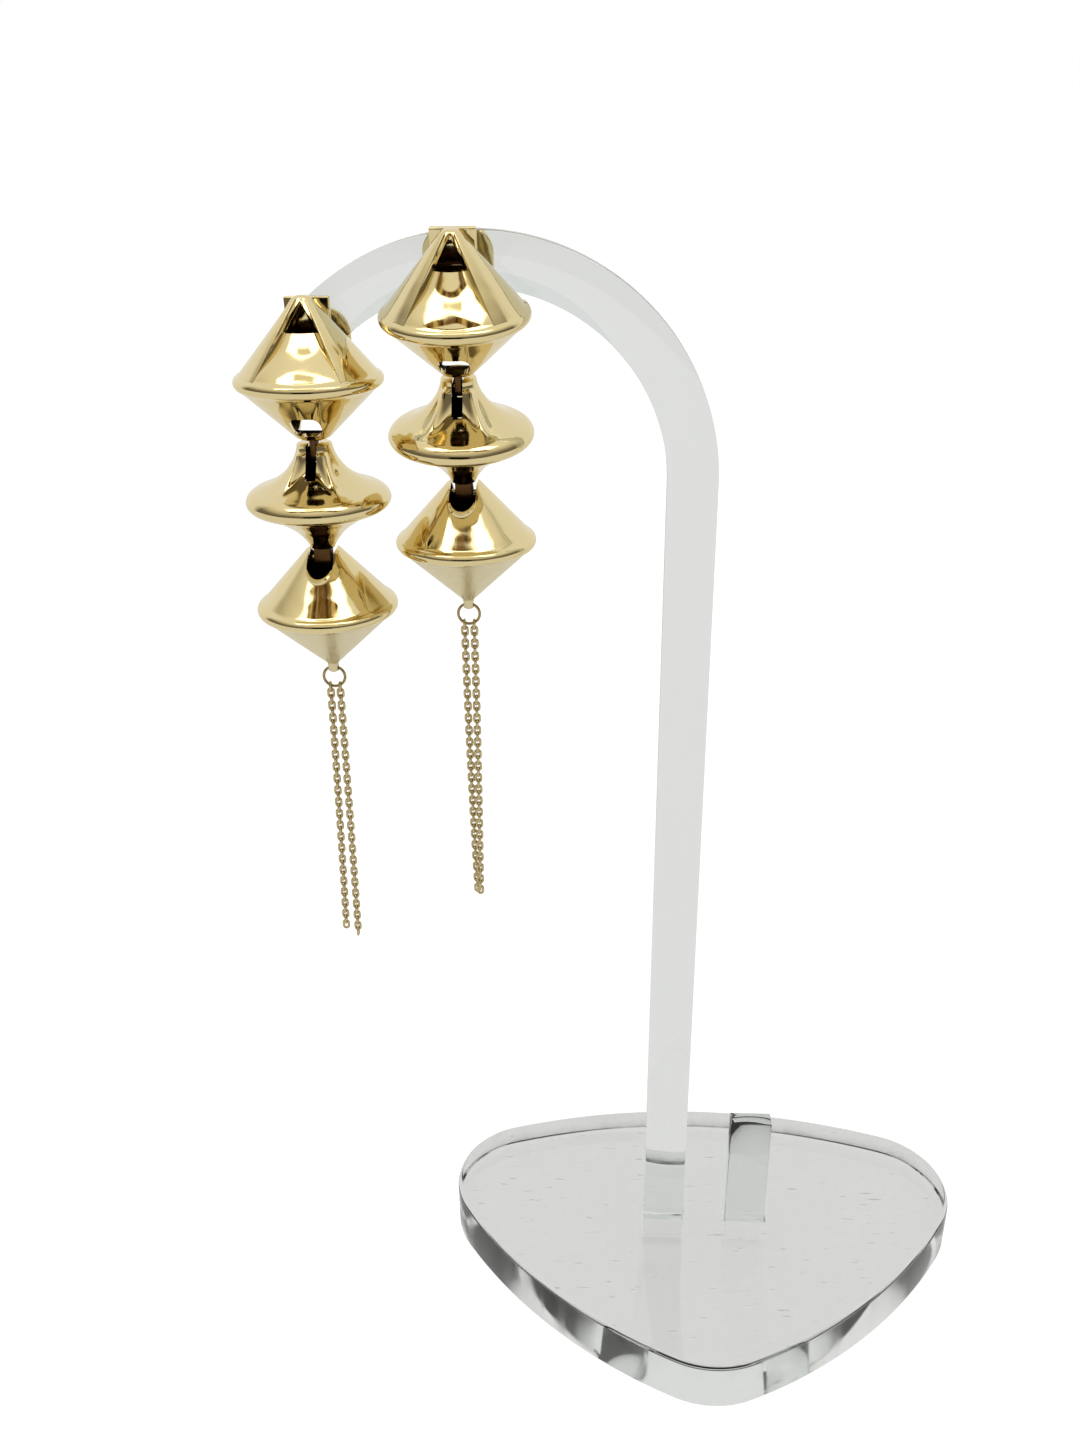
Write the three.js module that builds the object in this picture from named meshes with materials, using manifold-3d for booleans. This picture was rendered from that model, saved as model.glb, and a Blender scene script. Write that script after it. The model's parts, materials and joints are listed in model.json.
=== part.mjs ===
// A pair of three-tier drop earrings with clip backs, hung on their clear display stand.
// Millimetres, +Z up, -Y towards the viewer. The origin is the centre of the base's underside.
import * as THREE from 'three';
import * as BufferGeometryUtils from 'three/addons/utils/BufferGeometryUtils.js';
import Module from 'manifold-3d';

const wasm = await Module();
wasm.setup();

// Driving dimensions: clearances and facet counts
const CLEARANCE = 0.3; // between pieces that touch on the real thing
const ROUND_SIDES = 28; // around a double cone
const SMALL_SIDES = 12; // around a pin or an eye
const WIRE_SIDES = 8; // around a wire or a chain strand
const RING_STEPS = 16; // around a ring

// Driving dimensions: the stand
const BASE_WIDTH = 94.4;
const BASE_DEPTH = 61;
const BASE_THICKNESS = 9.9;
const BASE_EDGE = 0.8; // rounded upper and lower edge
const BACK_CORNER_RADIUS = 14.6;
const FRONT_CORNER_RADIUS = 16.6;
const BACK_BULGE_RADIUS = 119;
const SIDE_BULGE_RADIUS = 90;
const SLOT_SPACING = 15.2; // between the centres of the two slots
const SLOT_Y = 2.8;
const SLOT_FLOOR = 1.5; // left under each slot
const SHEET_THICKNESS = 3;
const HOOK_WIDTH = 7.3;
const HOOK_ARC_RADIUS = 30.5; // to the middle of the strip
const HOOK_ARC_HEIGHT = 151; // of the arc's centre above the table
const HOOK_END_ANGLE = 139; // where the strip ends, counted from the stem over the top
const TAB_HEIGHT = 23.5; // above the base

// Driving dimensions: the double cones, radii and heights measured from each rim's plane
const RIM_RADIUS = 10.2;
const RIM_HALF_THICKNESS = 0.95;
const RIM_SWELL = 0.15; // the bead's middle stands out past its upper and lower rows
const RIM_SHOULDER = 0.75; // from the bead's outside in to where the cones start
const WALL = 0.55;
const NECK_RADIUS = 2.45;
const TOP_APEX_HEIGHT = 11;
const TOP_APEX_RADIUS = 1;
const TOP_TIP_DEPTH = 8.2;
const MIDDLE_NECK_HEIGHT = 8.05;
const MIDDLE_STEM_DEPTH = 7;
const STEM_RADIUS = 1.7;
const BOTTOM_NECK_HEIGHT = 8.6;
const BOTTOM_TIP_DEPTH = 10.6;
const BOTTOM_CAVITY_DEPTH = 6.4; // below this the tip is solid
const TIP_RADIUS = 0.85;

// Driving dimensions: windows and bands of the top cone
const FRONT_WINDOW_TOP = 10.1;
const FRONT_WINDOW_SILL = 6.7;
const FRONT_WINDOW_WIDTH = 5.3;
const BAND_RADIUS = 0.5;
const BAND_FOOT_HEIGHT = 2.2;
const BAND_ANGLE = 45; // to each side of straight ahead
const TIP_WINDOW_WIDTH = 4.1;
const TIP_WINDOW_HEIGHT = 2.5;
const TIP_WINDOW_CENTRE = -6.5;
const TIP_CHAMFER = 0.5; // lifts the tip's edge clear of the neck that swings under it

// Driving dimensions: hinges
const PIN_RADIUS = 0.35;
const EYE_WALL = 0.5;
const UPPER_PIN_DEPTH = 1.5; // below the top of the middle cone's neck
const TONGUE_THICKNESS = 0.9;
const NECK_SLIT_HEIGHT = 4.3;
const LOWER_PIN_DEPTH = 1.4; // below the top of the bottom cone's neck
const KNUCKLE_THICKNESS = 2.4;
const NOTCH_RADIUS = 1.9;
const LIP_RADIUS = 0.3;
const LIP_HALF_ANGLE = 70; // the lip's reach to each side of the notch's lowest point

// Driving dimensions: the clip
const BACK_PLATE_Y = 3.4; // flat back, behind the axis
const HEAD_WIDTH = 6.2;
const HEAD_HEIGHT = 10.5;
const CLIP_PIN_Y = 7.4;
const CLIP_PIN_DEPTH = 4.4;
const CLIP_EAR_THICKNESS = 0.7;
const CLIP_KNUCKLE_WIDTH = 1.4;
const PAD_WIDTH = 9.6;
const PAD_TOP = 8.5;
const PAD_BOTTOM = 0.5;
const PAD_CORNER_RADIUS = 3;
const PAD_THICKNESS = 0.8;
const LEVER_WIDTH = 3;

// Driving dimensions: ring and chain strands
const RING_RADIUS = 1.6;
const RING_WIRE_RADIUS = 0.22;
const RING_HOLE_HEIGHT = 0.75; // above the end of the tip
const STRAND_RADIUS = 0.55;

const LEFT_STRAND_LENGTHS = [43.8, 45.1]; // below the ring
const RIGHT_STRAND_LENGTHS = [47.9, 47.4];

// Driving dimensions: where each earring hangs on the hook's arc, counted as the hook's end is, how
// far its top rim's centre lies inside the middle of the strip, and how far its upper cones lean
// towards the viewer
const LEFT_ARC_ANGLE = 145.1;
const LEFT_RIM_INSIDE = 3.4;
const RIGHT_ARC_ANGLE = 94.8;
const RIGHT_RIM_INSIDE = 6.5;
const EARRINGS = [
  {
    side: 'left', arcAngle: LEFT_ARC_ANGLE, rimInside: LEFT_RIM_INSIDE,
    topLean: 0, middleLean: 0, paddleLean: 0, strands: LEFT_STRAND_LENGTHS,
  },
  {
    side: 'right', arcAngle: RIGHT_ARC_ANGLE, rimInside: RIGHT_RIM_INSIDE,
    topLean: 10, middleLean: 8, paddleLean: 2, strands: RIGHT_STRAND_LENGTHS,
  },
];

// Chosen points of each strand's route: share of its length, sideways and forwards from the ring
const STRAND_ROUTES = {
  left: [
    [{ share: 0, x: -0.72, y: 0 }, { share: 0.5, x: -1.1, y: 0 }, { share: 1, x: -1.6, y: 0 }],
    [{ share: 0, x: 0.72, y: 0 }, { share: 0.5, x: 0.55, y: 0 }, { share: 1, x: 0.3, y: 0 }],
  ],
  right: [
    [{ share: 0, x: -0.72, y: 0 }, { share: 0.5, x: -0.65, y: 0.25 }, { share: 1, x: -0.3, y: 0.65 }],
    [{ share: 0, x: 0.72, y: 0 }, { share: 0.5, x: 0.6, y: -0.25 }, { share: 1, x: 0.3, y: -0.65 }],
  ],
};

const gold = new THREE.MeshStandardMaterial({ color: '#d9b25f', roughness: 0.12, metalness: 1 });
const acrylic = new THREE.MeshStandardMaterial({
  color: '#e3e8e6', roughness: 0.05, metalness: 0, transparent: true, opacity: 0.4,
});

const radians = THREE.MathUtils.degToRad;
const vector = (x, y) => new THREE.Vector2(x, y);

// Solids

// A closed three.js geometry as a solid, with its faces pointing out
function solid(geometry) {
  const bare = geometry.clone();
  bare.deleteAttribute('normal');
  bare.deleteAttribute('uv');
  const merged = BufferGeometryUtils.mergeVertices(bare, 1e-4);
  const place = merged.getAttribute('position').array;
  const corner = (i) => new THREE.Vector3().fromArray(place, 3 * i);
  const triangles = [];
  let volume = 0;
  for (let i = 0; i < merged.index.count; i += 3) {
    const [a, b, c] = [0, 1, 2].map((k) => merged.index.getX(i + k));
    if (a === b || b === c || c === a) continue;
    triangles.push([a, b, c]);
    volume += corner(a).dot(corner(b).cross(corner(c)));
  }
  const order = volume > 0 ? triangles : triangles.map(([a, b, c]) => [a, c, b]);
  return new wasm.Manifold(new wasm.Mesh({
    numProp: 3,
    vertProperties: new Float32Array(place),
    triVerts: new Uint32Array(order.flat()),
  }));
}

function meshOf(name, body, material) {
  const { vertProperties, triVerts } = body.getMesh();
  const geometry = new THREE.BufferGeometry();
  geometry.setAttribute('position', new THREE.BufferAttribute(new Float32Array(vertProperties), 3));
  geometry.setIndex(new THREE.BufferAttribute(new Uint32Array(triVerts), 1));
  geometry.computeVertexNormals();
  const mesh = new THREE.Mesh(geometry, material);
  mesh.name = name;
  return mesh;
}

const join = (...bodies) => bodies.reduce((sum, body) => sum.add(body));

function block(width, depth, height, x, y, z) {
  return solid(new THREE.BoxGeometry(width, depth, height).translate(x, y, z));
}

// A rod along X
function rodX(radius, length, x, y, z, sides = SMALL_SIDES) {
  return solid(new THREE.CylinderGeometry(radius, radius, length, sides).rotateZ(Math.PI / 2).translate(x, y, z));
}

// A form turned round Z from rows of radius and height, closed on the axis at both ends
function revolve(rows, sides = ROUND_SIDES) {
  const points = [vector(0, rows[0].z), ...rows.map(({ r, z }) => vector(r, z)), vector(0, rows.at(-1).z)];
  return solid(new THREE.LatheGeometry(points, sides).rotateX(Math.PI / 2));
}

// The same rows moved in by the wall, square to the surface
function inset(rows, wall) {
  return rows.map((row, i) => {
    const before = rows[Math.max(i - 1, 0)];
    const after = rows[Math.min(i + 1, rows.length - 1)];
    const along = vector(after.r - before.r, after.z - before.z).normalize();
    return { r: Math.max(row.r + along.y * wall, 0.05), z: row.z - along.x * wall };
  });
}

// A hollow turned form, whose cavity reaches from one height to another
function shell(rows, cavityBottom, cavityTop) {
  const reach = 4 * RIM_RADIUS;
  const middle = (cavityBottom + cavityTop) / 2;
  const slab = block(reach, reach, cavityTop - cavityBottom, 0, 0, middle);
  return revolve(rows).subtract(revolve(inset(rows, WALL)).intersect(slab));
}

// A flat outline in X and Z, given a depth along Y from front to back
function plate(shape, front, back, curveSegments = 4) {
  const geometry = new THREE.ExtrudeGeometry(shape, { depth: back - front, bevelEnabled: false, curveSegments });
  return solid(geometry.rotateX(Math.PI / 2).translate(0, back, 0));
}

// A round bar along a curve. A shape's arc gets twice the segments that are asked for
function bar(radius, curve, steps, sides = WIRE_SIDES) {
  const section = new THREE.Shape();
  section.absarc(0, 0, radius, 0, 2 * Math.PI);
  return solid(new THREE.ExtrudeGeometry(section, {
    steps, curveSegments: sides / 2, bevelEnabled: false, extrudePath: curve,
  }));
}

// Profiles of the three double cones, from top to bottom

const rim = [
  { r: RIM_RADIUS - RIM_SWELL, z: RIM_HALF_THICKNESS / 2 },
  { r: RIM_RADIUS, z: 0 },
  { r: RIM_RADIUS - RIM_SWELL, z: -RIM_HALF_THICKNESS / 2 },
];
const rimTop = { r: RIM_RADIUS - RIM_SHOULDER, z: RIM_HALF_THICKNESS };
const rimBottom = { r: RIM_RADIUS - RIM_SHOULDER, z: -RIM_HALF_THICKNESS };

const topProfile = [
  { r: TOP_APEX_RADIUS, z: TOP_APEX_HEIGHT },
  rimTop, ...rim, rimBottom,
  { r: NECK_RADIUS, z: -TOP_TIP_DEPTH + TIP_CHAMFER },
  { r: NECK_RADIUS / 2, z: -TOP_TIP_DEPTH },
];

// A flare between neck and rim: shares of the way out to the rim and of the way up to the neck
const upperFlare = [
  { out: 0.02, up: 0.88 }, { out: 0.1, up: 0.72 }, { out: 0.26, up: 0.53 },
  { out: 0.5, up: 0.33 }, { out: 0.78, up: 0.17 },
];
const lowerFlare = [
  { out: 0.76, up: 0.22 }, { out: 0.47, up: 0.42 }, { out: 0.24, up: 0.62 }, { out: 0.09, up: 0.82 },
];
const flare = (rows, neckRadius, neckHeight) => rows.map(({ out, up }) => ({
  r: neckRadius + out * (RIM_RADIUS - neckRadius), z: up * neckHeight,
}));

const middleProfile = [
  { r: NECK_RADIUS, z: MIDDLE_NECK_HEIGHT },
  ...flare(upperFlare, NECK_RADIUS, MIDDLE_NECK_HEIGHT),
  ...rim,
  ...flare(lowerFlare, STEM_RADIUS, -MIDDLE_STEM_DEPTH),
  { r: STEM_RADIUS, z: -MIDDLE_STEM_DEPTH },
];

const bottomProfile = [
  { r: NECK_RADIUS, z: BOTTOM_NECK_HEIGHT },
  rimTop, ...rim, rimBottom,
  { r: TIP_RADIUS, z: -BOTTOM_TIP_DEPTH + 2 * RING_HOLE_HEIGHT },
  { r: TIP_RADIUS, z: -BOTTOM_TIP_DEPTH + RING_HOLE_HEIGHT / 2 },
  { r: TIP_RADIUS / 2, z: -BOTTOM_TIP_DEPTH },
];

// The radius of a turned form's outside at a height
function radiusAt(rows, z) {
  const i = rows.findIndex((row) => row.z <= z);
  const [above, below] = [rows[i - 1], rows[i]];
  const share = (above.z - z) / (above.z - below.z);
  return above.r + share * (below.r - above.r);
}

// Hinge places, each in its own cone's frame
const eyeRadius = PIN_RADIUS + CLEARANCE;
const upperPinHeight = MIDDLE_NECK_HEIGHT - UPPER_PIN_DEPTH;
const upperPinUnderTop = -TOP_TIP_DEPTH - CLEARANCE - UPPER_PIN_DEPTH;
const lowerPinHeight = BOTTOM_NECK_HEIGHT - LOWER_PIN_DEPTH;
const knuckleRadius = eyeRadius + EYE_WALL;
const lowerPinUnderMiddle = -MIDDLE_STEM_DEPTH - knuckleRadius - 2 * CLEARANCE;
const slitWidth = TONGUE_THICKNESS + 2 * CLEARANCE;

// An eye of a tongue or knuckle, on a strip that comes down to it
function eye(thickness, topHeight, pinHeight) {
  const strip = block(thickness, 2 * knuckleRadius, topHeight - pinHeight, 0, 0, (topHeight + pinHeight) / 2);
  const round = rodX(knuckleRadius, thickness, 0, 0, pinHeight);
  return join(strip, round).subtract(rodX(eyeRadius, 2 * thickness, 0, 0, pinHeight));
}

// Pieces

function topBicone() {
  let body = shell(topProfile, -TOP_TIP_DEPTH + 2 * TIP_CHAMFER, TOP_APEX_HEIGHT - 2 * WALL);

  const frontWindow = new THREE.Shape([
    vector(0, FRONT_WINDOW_TOP),
    vector(-FRONT_WINDOW_WIDTH / 2, FRONT_WINDOW_SILL),
    vector(FRONT_WINDOW_WIDTH / 2, FRONT_WINDOW_SILL),
  ]);
  body = body.subtract(plate(frontWindow, -2 * RIM_RADIUS, 0));

  const tipWindow = new THREE.Shape();
  tipWindow.absellipse(0, TIP_WINDOW_CENTRE, TIP_WINDOW_WIDTH / 2, TIP_WINDOW_HEIGHT / 2, 0, 2 * Math.PI);
  body = body.subtract(plate(tipWindow, -2 * RIM_RADIUS, 2 * RIM_RADIUS, 8));

  // The flat back: what lies behind it is cut off, and a wall closes the cut
  const reach = 4 * RIM_RADIUS;
  const behind = block(reach, reach, reach, 0, BACK_PLATE_Y + reach / 2, 0);
  const wallSlab = block(reach, WALL, reach, 0, BACK_PLATE_Y - WALL / 2, 0);
  body = join(body.subtract(behind), revolve(topProfile).intersect(wallSlab));

  // The head rises from the cone's back to the height of the apex
  const headFoot = FRONT_WINDOW_SILL - 1;
  body = join(body, block(
    HEAD_WIDTH, 2 * WALL, HEAD_HEIGHT - headFoot, 0, BACK_PLATE_Y - WALL, (HEAD_HEIGHT + headFoot) / 2,
  ));
  const apexWeb = block(
    2 * TOP_APEX_RADIUS, BACK_PLATE_Y - WALL, HEAD_HEIGHT - FRONT_WINDOW_TOP + 2 * WALL,
    0, (BACK_PLATE_Y - WALL) / 2, HEAD_HEIGHT - (HEAD_HEIGHT - FRONT_WINDOW_TOP + 2 * WALL) / 2,
  );
  body = join(body, apexWeb);

  for (const turn of [-BAND_ANGLE, BAND_ANGLE]) {
    const sideways = Math.sin(radians(turn));
    const forwards = -Math.cos(radians(turn));
    const footRadius = radiusAt(topProfile, BAND_FOOT_HEIGHT);
    const band = new THREE.LineCurve3(
      new THREE.Vector3(sideways * TOP_APEX_RADIUS, forwards * TOP_APEX_RADIUS, TOP_APEX_HEIGHT - BAND_RADIUS),
      new THREE.Vector3(sideways * footRadius, forwards * footRadius, BAND_FOOT_HEIGHT),
    );
    body = join(body, bar(BAND_RADIUS, band, 1));
  }

  const tipPlate = revolve([
    { r: NECK_RADIUS - WALL / 2, z: -TOP_TIP_DEPTH + 2 * TIP_CHAMFER },
    { r: NECK_RADIUS - WALL / 2, z: -TOP_TIP_DEPTH + TIP_CHAMFER },
    { r: NECK_RADIUS / 2, z: -TOP_TIP_DEPTH },
  ]);
  body = join(body, tipPlate, eye(TONGUE_THICKNESS, -TOP_TIP_DEPTH + TIP_CHAMFER, upperPinUnderTop));

  // Two ears carry the clip's pin
  const earRadius = PIN_RADIUS + 2 * EYE_WALL;
  const earInside = CLIP_KNUCKLE_WIDTH / 2 + CLEARANCE;
  const earFront = BACK_PLATE_Y - WALL / 2;
  for (const side of [-1, 1]) {
    const x = side * (earInside + CLIP_EAR_THICKNESS / 2);
    const arm = block(
      CLIP_EAR_THICKNESS, CLIP_PIN_Y - earFront, 2 * earRadius, x, (CLIP_PIN_Y + earFront) / 2, -CLIP_PIN_DEPTH,
    );
    body = join(body, arm, rodX(earRadius, CLIP_EAR_THICKNESS, x, CLIP_PIN_Y, -CLIP_PIN_DEPTH));
  }
  const pinLength = 2 * (earInside + CLIP_EAR_THICKNESS / 2);
  return join(body, rodX(PIN_RADIUS, pinLength, 0, CLIP_PIN_Y, -CLIP_PIN_DEPTH));
}

// The clip's lever, with its pin at the origin
function clipPaddle() {
  const front = BACK_PLATE_Y + SHEET_THICKNESS + 2 * CLEARANCE - CLIP_PIN_Y;
  const back = front + PAD_THICKNESS;
  const top = PAD_TOP + CLIP_PIN_DEPTH;
  const bottom = PAD_BOTTOM + CLIP_PIN_DEPTH;
  const halfWidth = PAD_WIDTH / 2;
  const corner = PAD_CORNER_RADIUS;
  const pad = new THREE.Shape();
  pad.absarc(halfWidth - corner, bottom + corner, corner, -Math.PI / 2, 0);
  pad.absarc(halfWidth - corner, top - corner, corner, 0, Math.PI / 2);
  pad.absarc(-halfWidth + corner, top - corner, corner, Math.PI / 2, Math.PI);
  pad.absarc(-halfWidth + corner, bottom + corner, corner, Math.PI, 1.5 * Math.PI);

  const shoulder = knuckleRadius + EYE_WALL;
  const knuckleHalf = CLIP_KNUCKLE_WIDTH / 2;
  const lever = new THREE.Shape([
    vector(-knuckleHalf, 0),
    vector(knuckleHalf, 0),
    vector(knuckleHalf, shoulder),
    vector(LEVER_WIDTH / 2, shoulder + 2 * EYE_WALL),
    vector(LEVER_WIDTH / 2, bottom + corner),
    vector(-LEVER_WIDTH / 2, bottom + corner),
    vector(-LEVER_WIDTH / 2, shoulder + 2 * EYE_WALL),
    vector(-knuckleHalf, shoulder),
  ]);
  const knuckle = rodX(knuckleRadius, CLIP_KNUCKLE_WIDTH, 0, 0, 0);
  return join(plate(pad, front, back), plate(lever, front, back), knuckle)
    .subtract(rodX(eyeRadius, 2 * CLIP_KNUCKLE_WIDTH, 0, 0, 0));
}

function middleBicone() {
  let body = shell(middleProfile, -MIDDLE_STEM_DEPTH / 2, MIDDLE_NECK_HEIGHT - WALL);
  const slitFoot = MIDDLE_NECK_HEIGHT - NECK_SLIT_HEIGHT;
  body = body.subtract(block(
    slitWidth, 2 * RIM_RADIUS, 2 * NECK_SLIT_HEIGHT, 0, 0, slitFoot + NECK_SLIT_HEIGHT,
  ));
  const pin = rodX(PIN_RADIUS, 2 * radiusAt(middleProfile, upperPinHeight) - WALL, 0, 0, upperPinHeight);
  return join(body, pin, eye(KNUCKLE_THICKNESS, -MIDDLE_STEM_DEPTH + WALL, lowerPinUnderMiddle));
}

function bottomBicone() {
  let body = shell(bottomProfile, -BOTTOM_CAVITY_DEPTH, BOTTOM_NECK_HEIGHT + WALL);

  // A round notch through the neck's front and back, open at the top
  const notch = new THREE.Shape();
  notch.moveTo(NOTCH_RADIUS, 2 * BOTTOM_NECK_HEIGHT);
  notch.lineTo(-NOTCH_RADIUS, 2 * BOTTOM_NECK_HEIGHT);
  notch.absarc(0, lowerPinHeight, NOTCH_RADIUS, Math.PI, 2 * Math.PI);
  body = body.subtract(plate(notch, -RIM_RADIUS, RIM_RADIUS, 6));

  // A raised lip follows the notch's lower edge at the front
  const lip = new THREE.CatmullRomCurve3([-1, -0.5, 0, 0.5, 1].map((share) => {
    const turn = radians(share * LIP_HALF_ANGLE);
    const x = NOTCH_RADIUS * Math.sin(turn);
    const z = lowerPinHeight - NOTCH_RADIUS * Math.cos(turn);
    const radius = radiusAt(bottomProfile, z);
    return new THREE.Vector3(x, -Math.sqrt(radius * radius - x * x), z);
  }));
  body = join(body, bar(LIP_RADIUS, lip, 8));
  body = join(body, rodX(PIN_RADIUS, 2 * radiusAt(bottomProfile, lowerPinHeight) - WALL, 0, 0, lowerPinHeight));
  const holeRadius = RING_WIRE_RADIUS + CLEARANCE;
  return body.subtract(rodX(holeRadius, 4 * TIP_RADIUS, 0, 0, -BOTTOM_TIP_DEPTH + RING_HOLE_HEIGHT, 10));
}

// The ring in its own frame, with the top of its wire at the origin
function tasselRing() {
  const ring = new THREE.TorusGeometry(RING_RADIUS, RING_WIRE_RADIUS, WIRE_SIDES, RING_STEPS);
  return solid(ring.rotateX(Math.PI / 2).translate(0, 0, -RING_RADIUS));
}

// One strand, from just under the ring down, with its top at the origin's height
function strand(route, length) {
  const curve = new THREE.CatmullRomCurve3(
    route.map(({ share, x, y }) => new THREE.Vector3(x, y, -share * length)),
  );
  const stepLength = 5 * STRAND_RADIUS;
  return bar(STRAND_RADIUS, curve, Math.round(length / stepLength));
}

// The base's outline: three corner arcs, joined by wide arcs that they lie against inside
function baseOutline() {
  const backY = BASE_DEPTH / 2 - (BACK_BULGE_RADIUS - Math.sqrt(
    (BACK_BULGE_RADIUS - BACK_CORNER_RADIUS) ** 2 - (BASE_WIDTH / 2 - BACK_CORNER_RADIUS) ** 2,
  ));
  const corners = [
    { x: 0, y: -BASE_DEPTH / 2 + FRONT_CORNER_RADIUS, radius: FRONT_CORNER_RADIUS, bulge: SIDE_BULGE_RADIUS },
    { x: BASE_WIDTH / 2 - BACK_CORNER_RADIUS, y: backY, radius: BACK_CORNER_RADIUS, bulge: BACK_BULGE_RADIUS },
    { x: -BASE_WIDTH / 2 + BACK_CORNER_RADIUS, y: backY, radius: BACK_CORNER_RADIUS, bulge: SIDE_BULGE_RADIUS },
  ];
  const sides = corners.map((from, i) => {
    const to = corners[(i + 1) % corners.length];
    const span = vector(to.x - from.x, to.y - from.y);
    const fromReach = from.bulge - from.radius;
    const toReach = from.bulge - to.radius;
    const along = (fromReach ** 2 - toReach ** 2 + span.lengthSq()) / (2 * span.length());
    const aside = Math.sqrt(fromReach ** 2 - along ** 2);
    const unit = span.clone().normalize();
    const centre = vector(from.x + along * unit.x - aside * unit.y, from.y + along * unit.y + aside * unit.x);
    return {
      centre,
      radius: from.bulge,
      start: Math.atan2(from.y - centre.y, from.x - centre.x),
      end: Math.atan2(to.y - centre.y, to.x - centre.x),
    };
  });
  const shape = new THREE.Shape();
  corners.forEach((corner, i) => {
    const before = sides[(i + sides.length - 1) % sides.length];
    const after = sides[i];
    shape.absarc(corner.x, corner.y, corner.radius, before.end, after.start);
    shape.absarc(after.centre.x, after.centre.y, after.radius, after.start, after.end);
  });
  return shape;
}

function standBase() {
  const slab = solid(new THREE.ExtrudeGeometry(baseOutline(), {
    depth: BASE_THICKNESS - 2 * BASE_EDGE,
    bevelThickness: BASE_EDGE,
    bevelSize: BASE_EDGE,
    bevelOffset: -BASE_EDGE,
    bevelSegments: 2,
    curveSegments: 5,
  }).translate(0, 0, BASE_EDGE));
  const slots = [-1, 1].map((side) => block(
    HOOK_WIDTH + 2 * CLEARANCE, SHEET_THICKNESS + 2 * CLEARANCE, 2 * BASE_THICKNESS,
    side * SLOT_SPACING / 2, SLOT_Y, BASE_THICKNESS + SLOT_FLOOR,
  ));
  return slots.reduce((body, slot) => body.subtract(slot), slab);
}

const stripFoot = SLOT_FLOOR + CLEARANCE;
const sheetFront = SLOT_Y - SHEET_THICKNESS / 2;
const sheetBack = SLOT_Y + SHEET_THICKNESS / 2;
const stemX = -SLOT_SPACING / 2;
const hookArcX = stemX - HOOK_ARC_RADIUS;
const hookInnerRadius = HOOK_ARC_RADIUS - HOOK_WIDTH / 2;

function standHook() {
  const outerRadius = HOOK_ARC_RADIUS + HOOK_WIDTH / 2;
  const end = radians(HOOK_END_ANGLE);
  const shape = new THREE.Shape();
  shape.moveTo(stemX - HOOK_WIDTH / 2, stripFoot);
  shape.lineTo(stemX + HOOK_WIDTH / 2, stripFoot);
  shape.absarc(hookArcX, HOOK_ARC_HEIGHT, outerRadius, 0, end);
  shape.absarc(hookArcX, HOOK_ARC_HEIGHT, hookInnerRadius, end, 0, true);
  return plate(shape, sheetFront, sheetBack, 20);
}

function standTab() {
  const top = BASE_THICKNESS + TAB_HEIGHT;
  return block(HOOK_WIDTH, SHEET_THICKNESS, top - stripFoot, SLOT_SPACING / 2, SLOT_Y, (top + stripFoot) / 2);
}

// Assembly

// How far in front of the sheet's middle an earring's axis hangs, so that its leaning flat back
// comes within the clearance of the sheet, where the sheet's lower edge passes the back's outer side
function axisToSheet(x, rimHeight, lean) {
  const outerSide = x - Math.sqrt(RIM_RADIUS ** 2 - BACK_PLATE_Y ** 2) - hookArcX;
  const rise = Math.sqrt(Math.max(hookInnerRadius ** 2 - outerSide ** 2, 0));
  const lowerEdge = Math.max(HOOK_ARC_HEIGHT + rise - rimHeight, 0);
  const plateAtEdge = BACK_PLATE_Y / Math.cos(lean) - lowerEdge * Math.tan(lean);
  return plateAtEdge + CLEARANCE + SHEET_THICKNESS / 2;
}

const part = new THREE.Group();
part.add(meshOf('stand_base', standBase(), acrylic));
part.add(meshOf('stand_hook', standHook(), acrylic));
part.add(meshOf('stand_tab', standTab(), acrylic));

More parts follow.
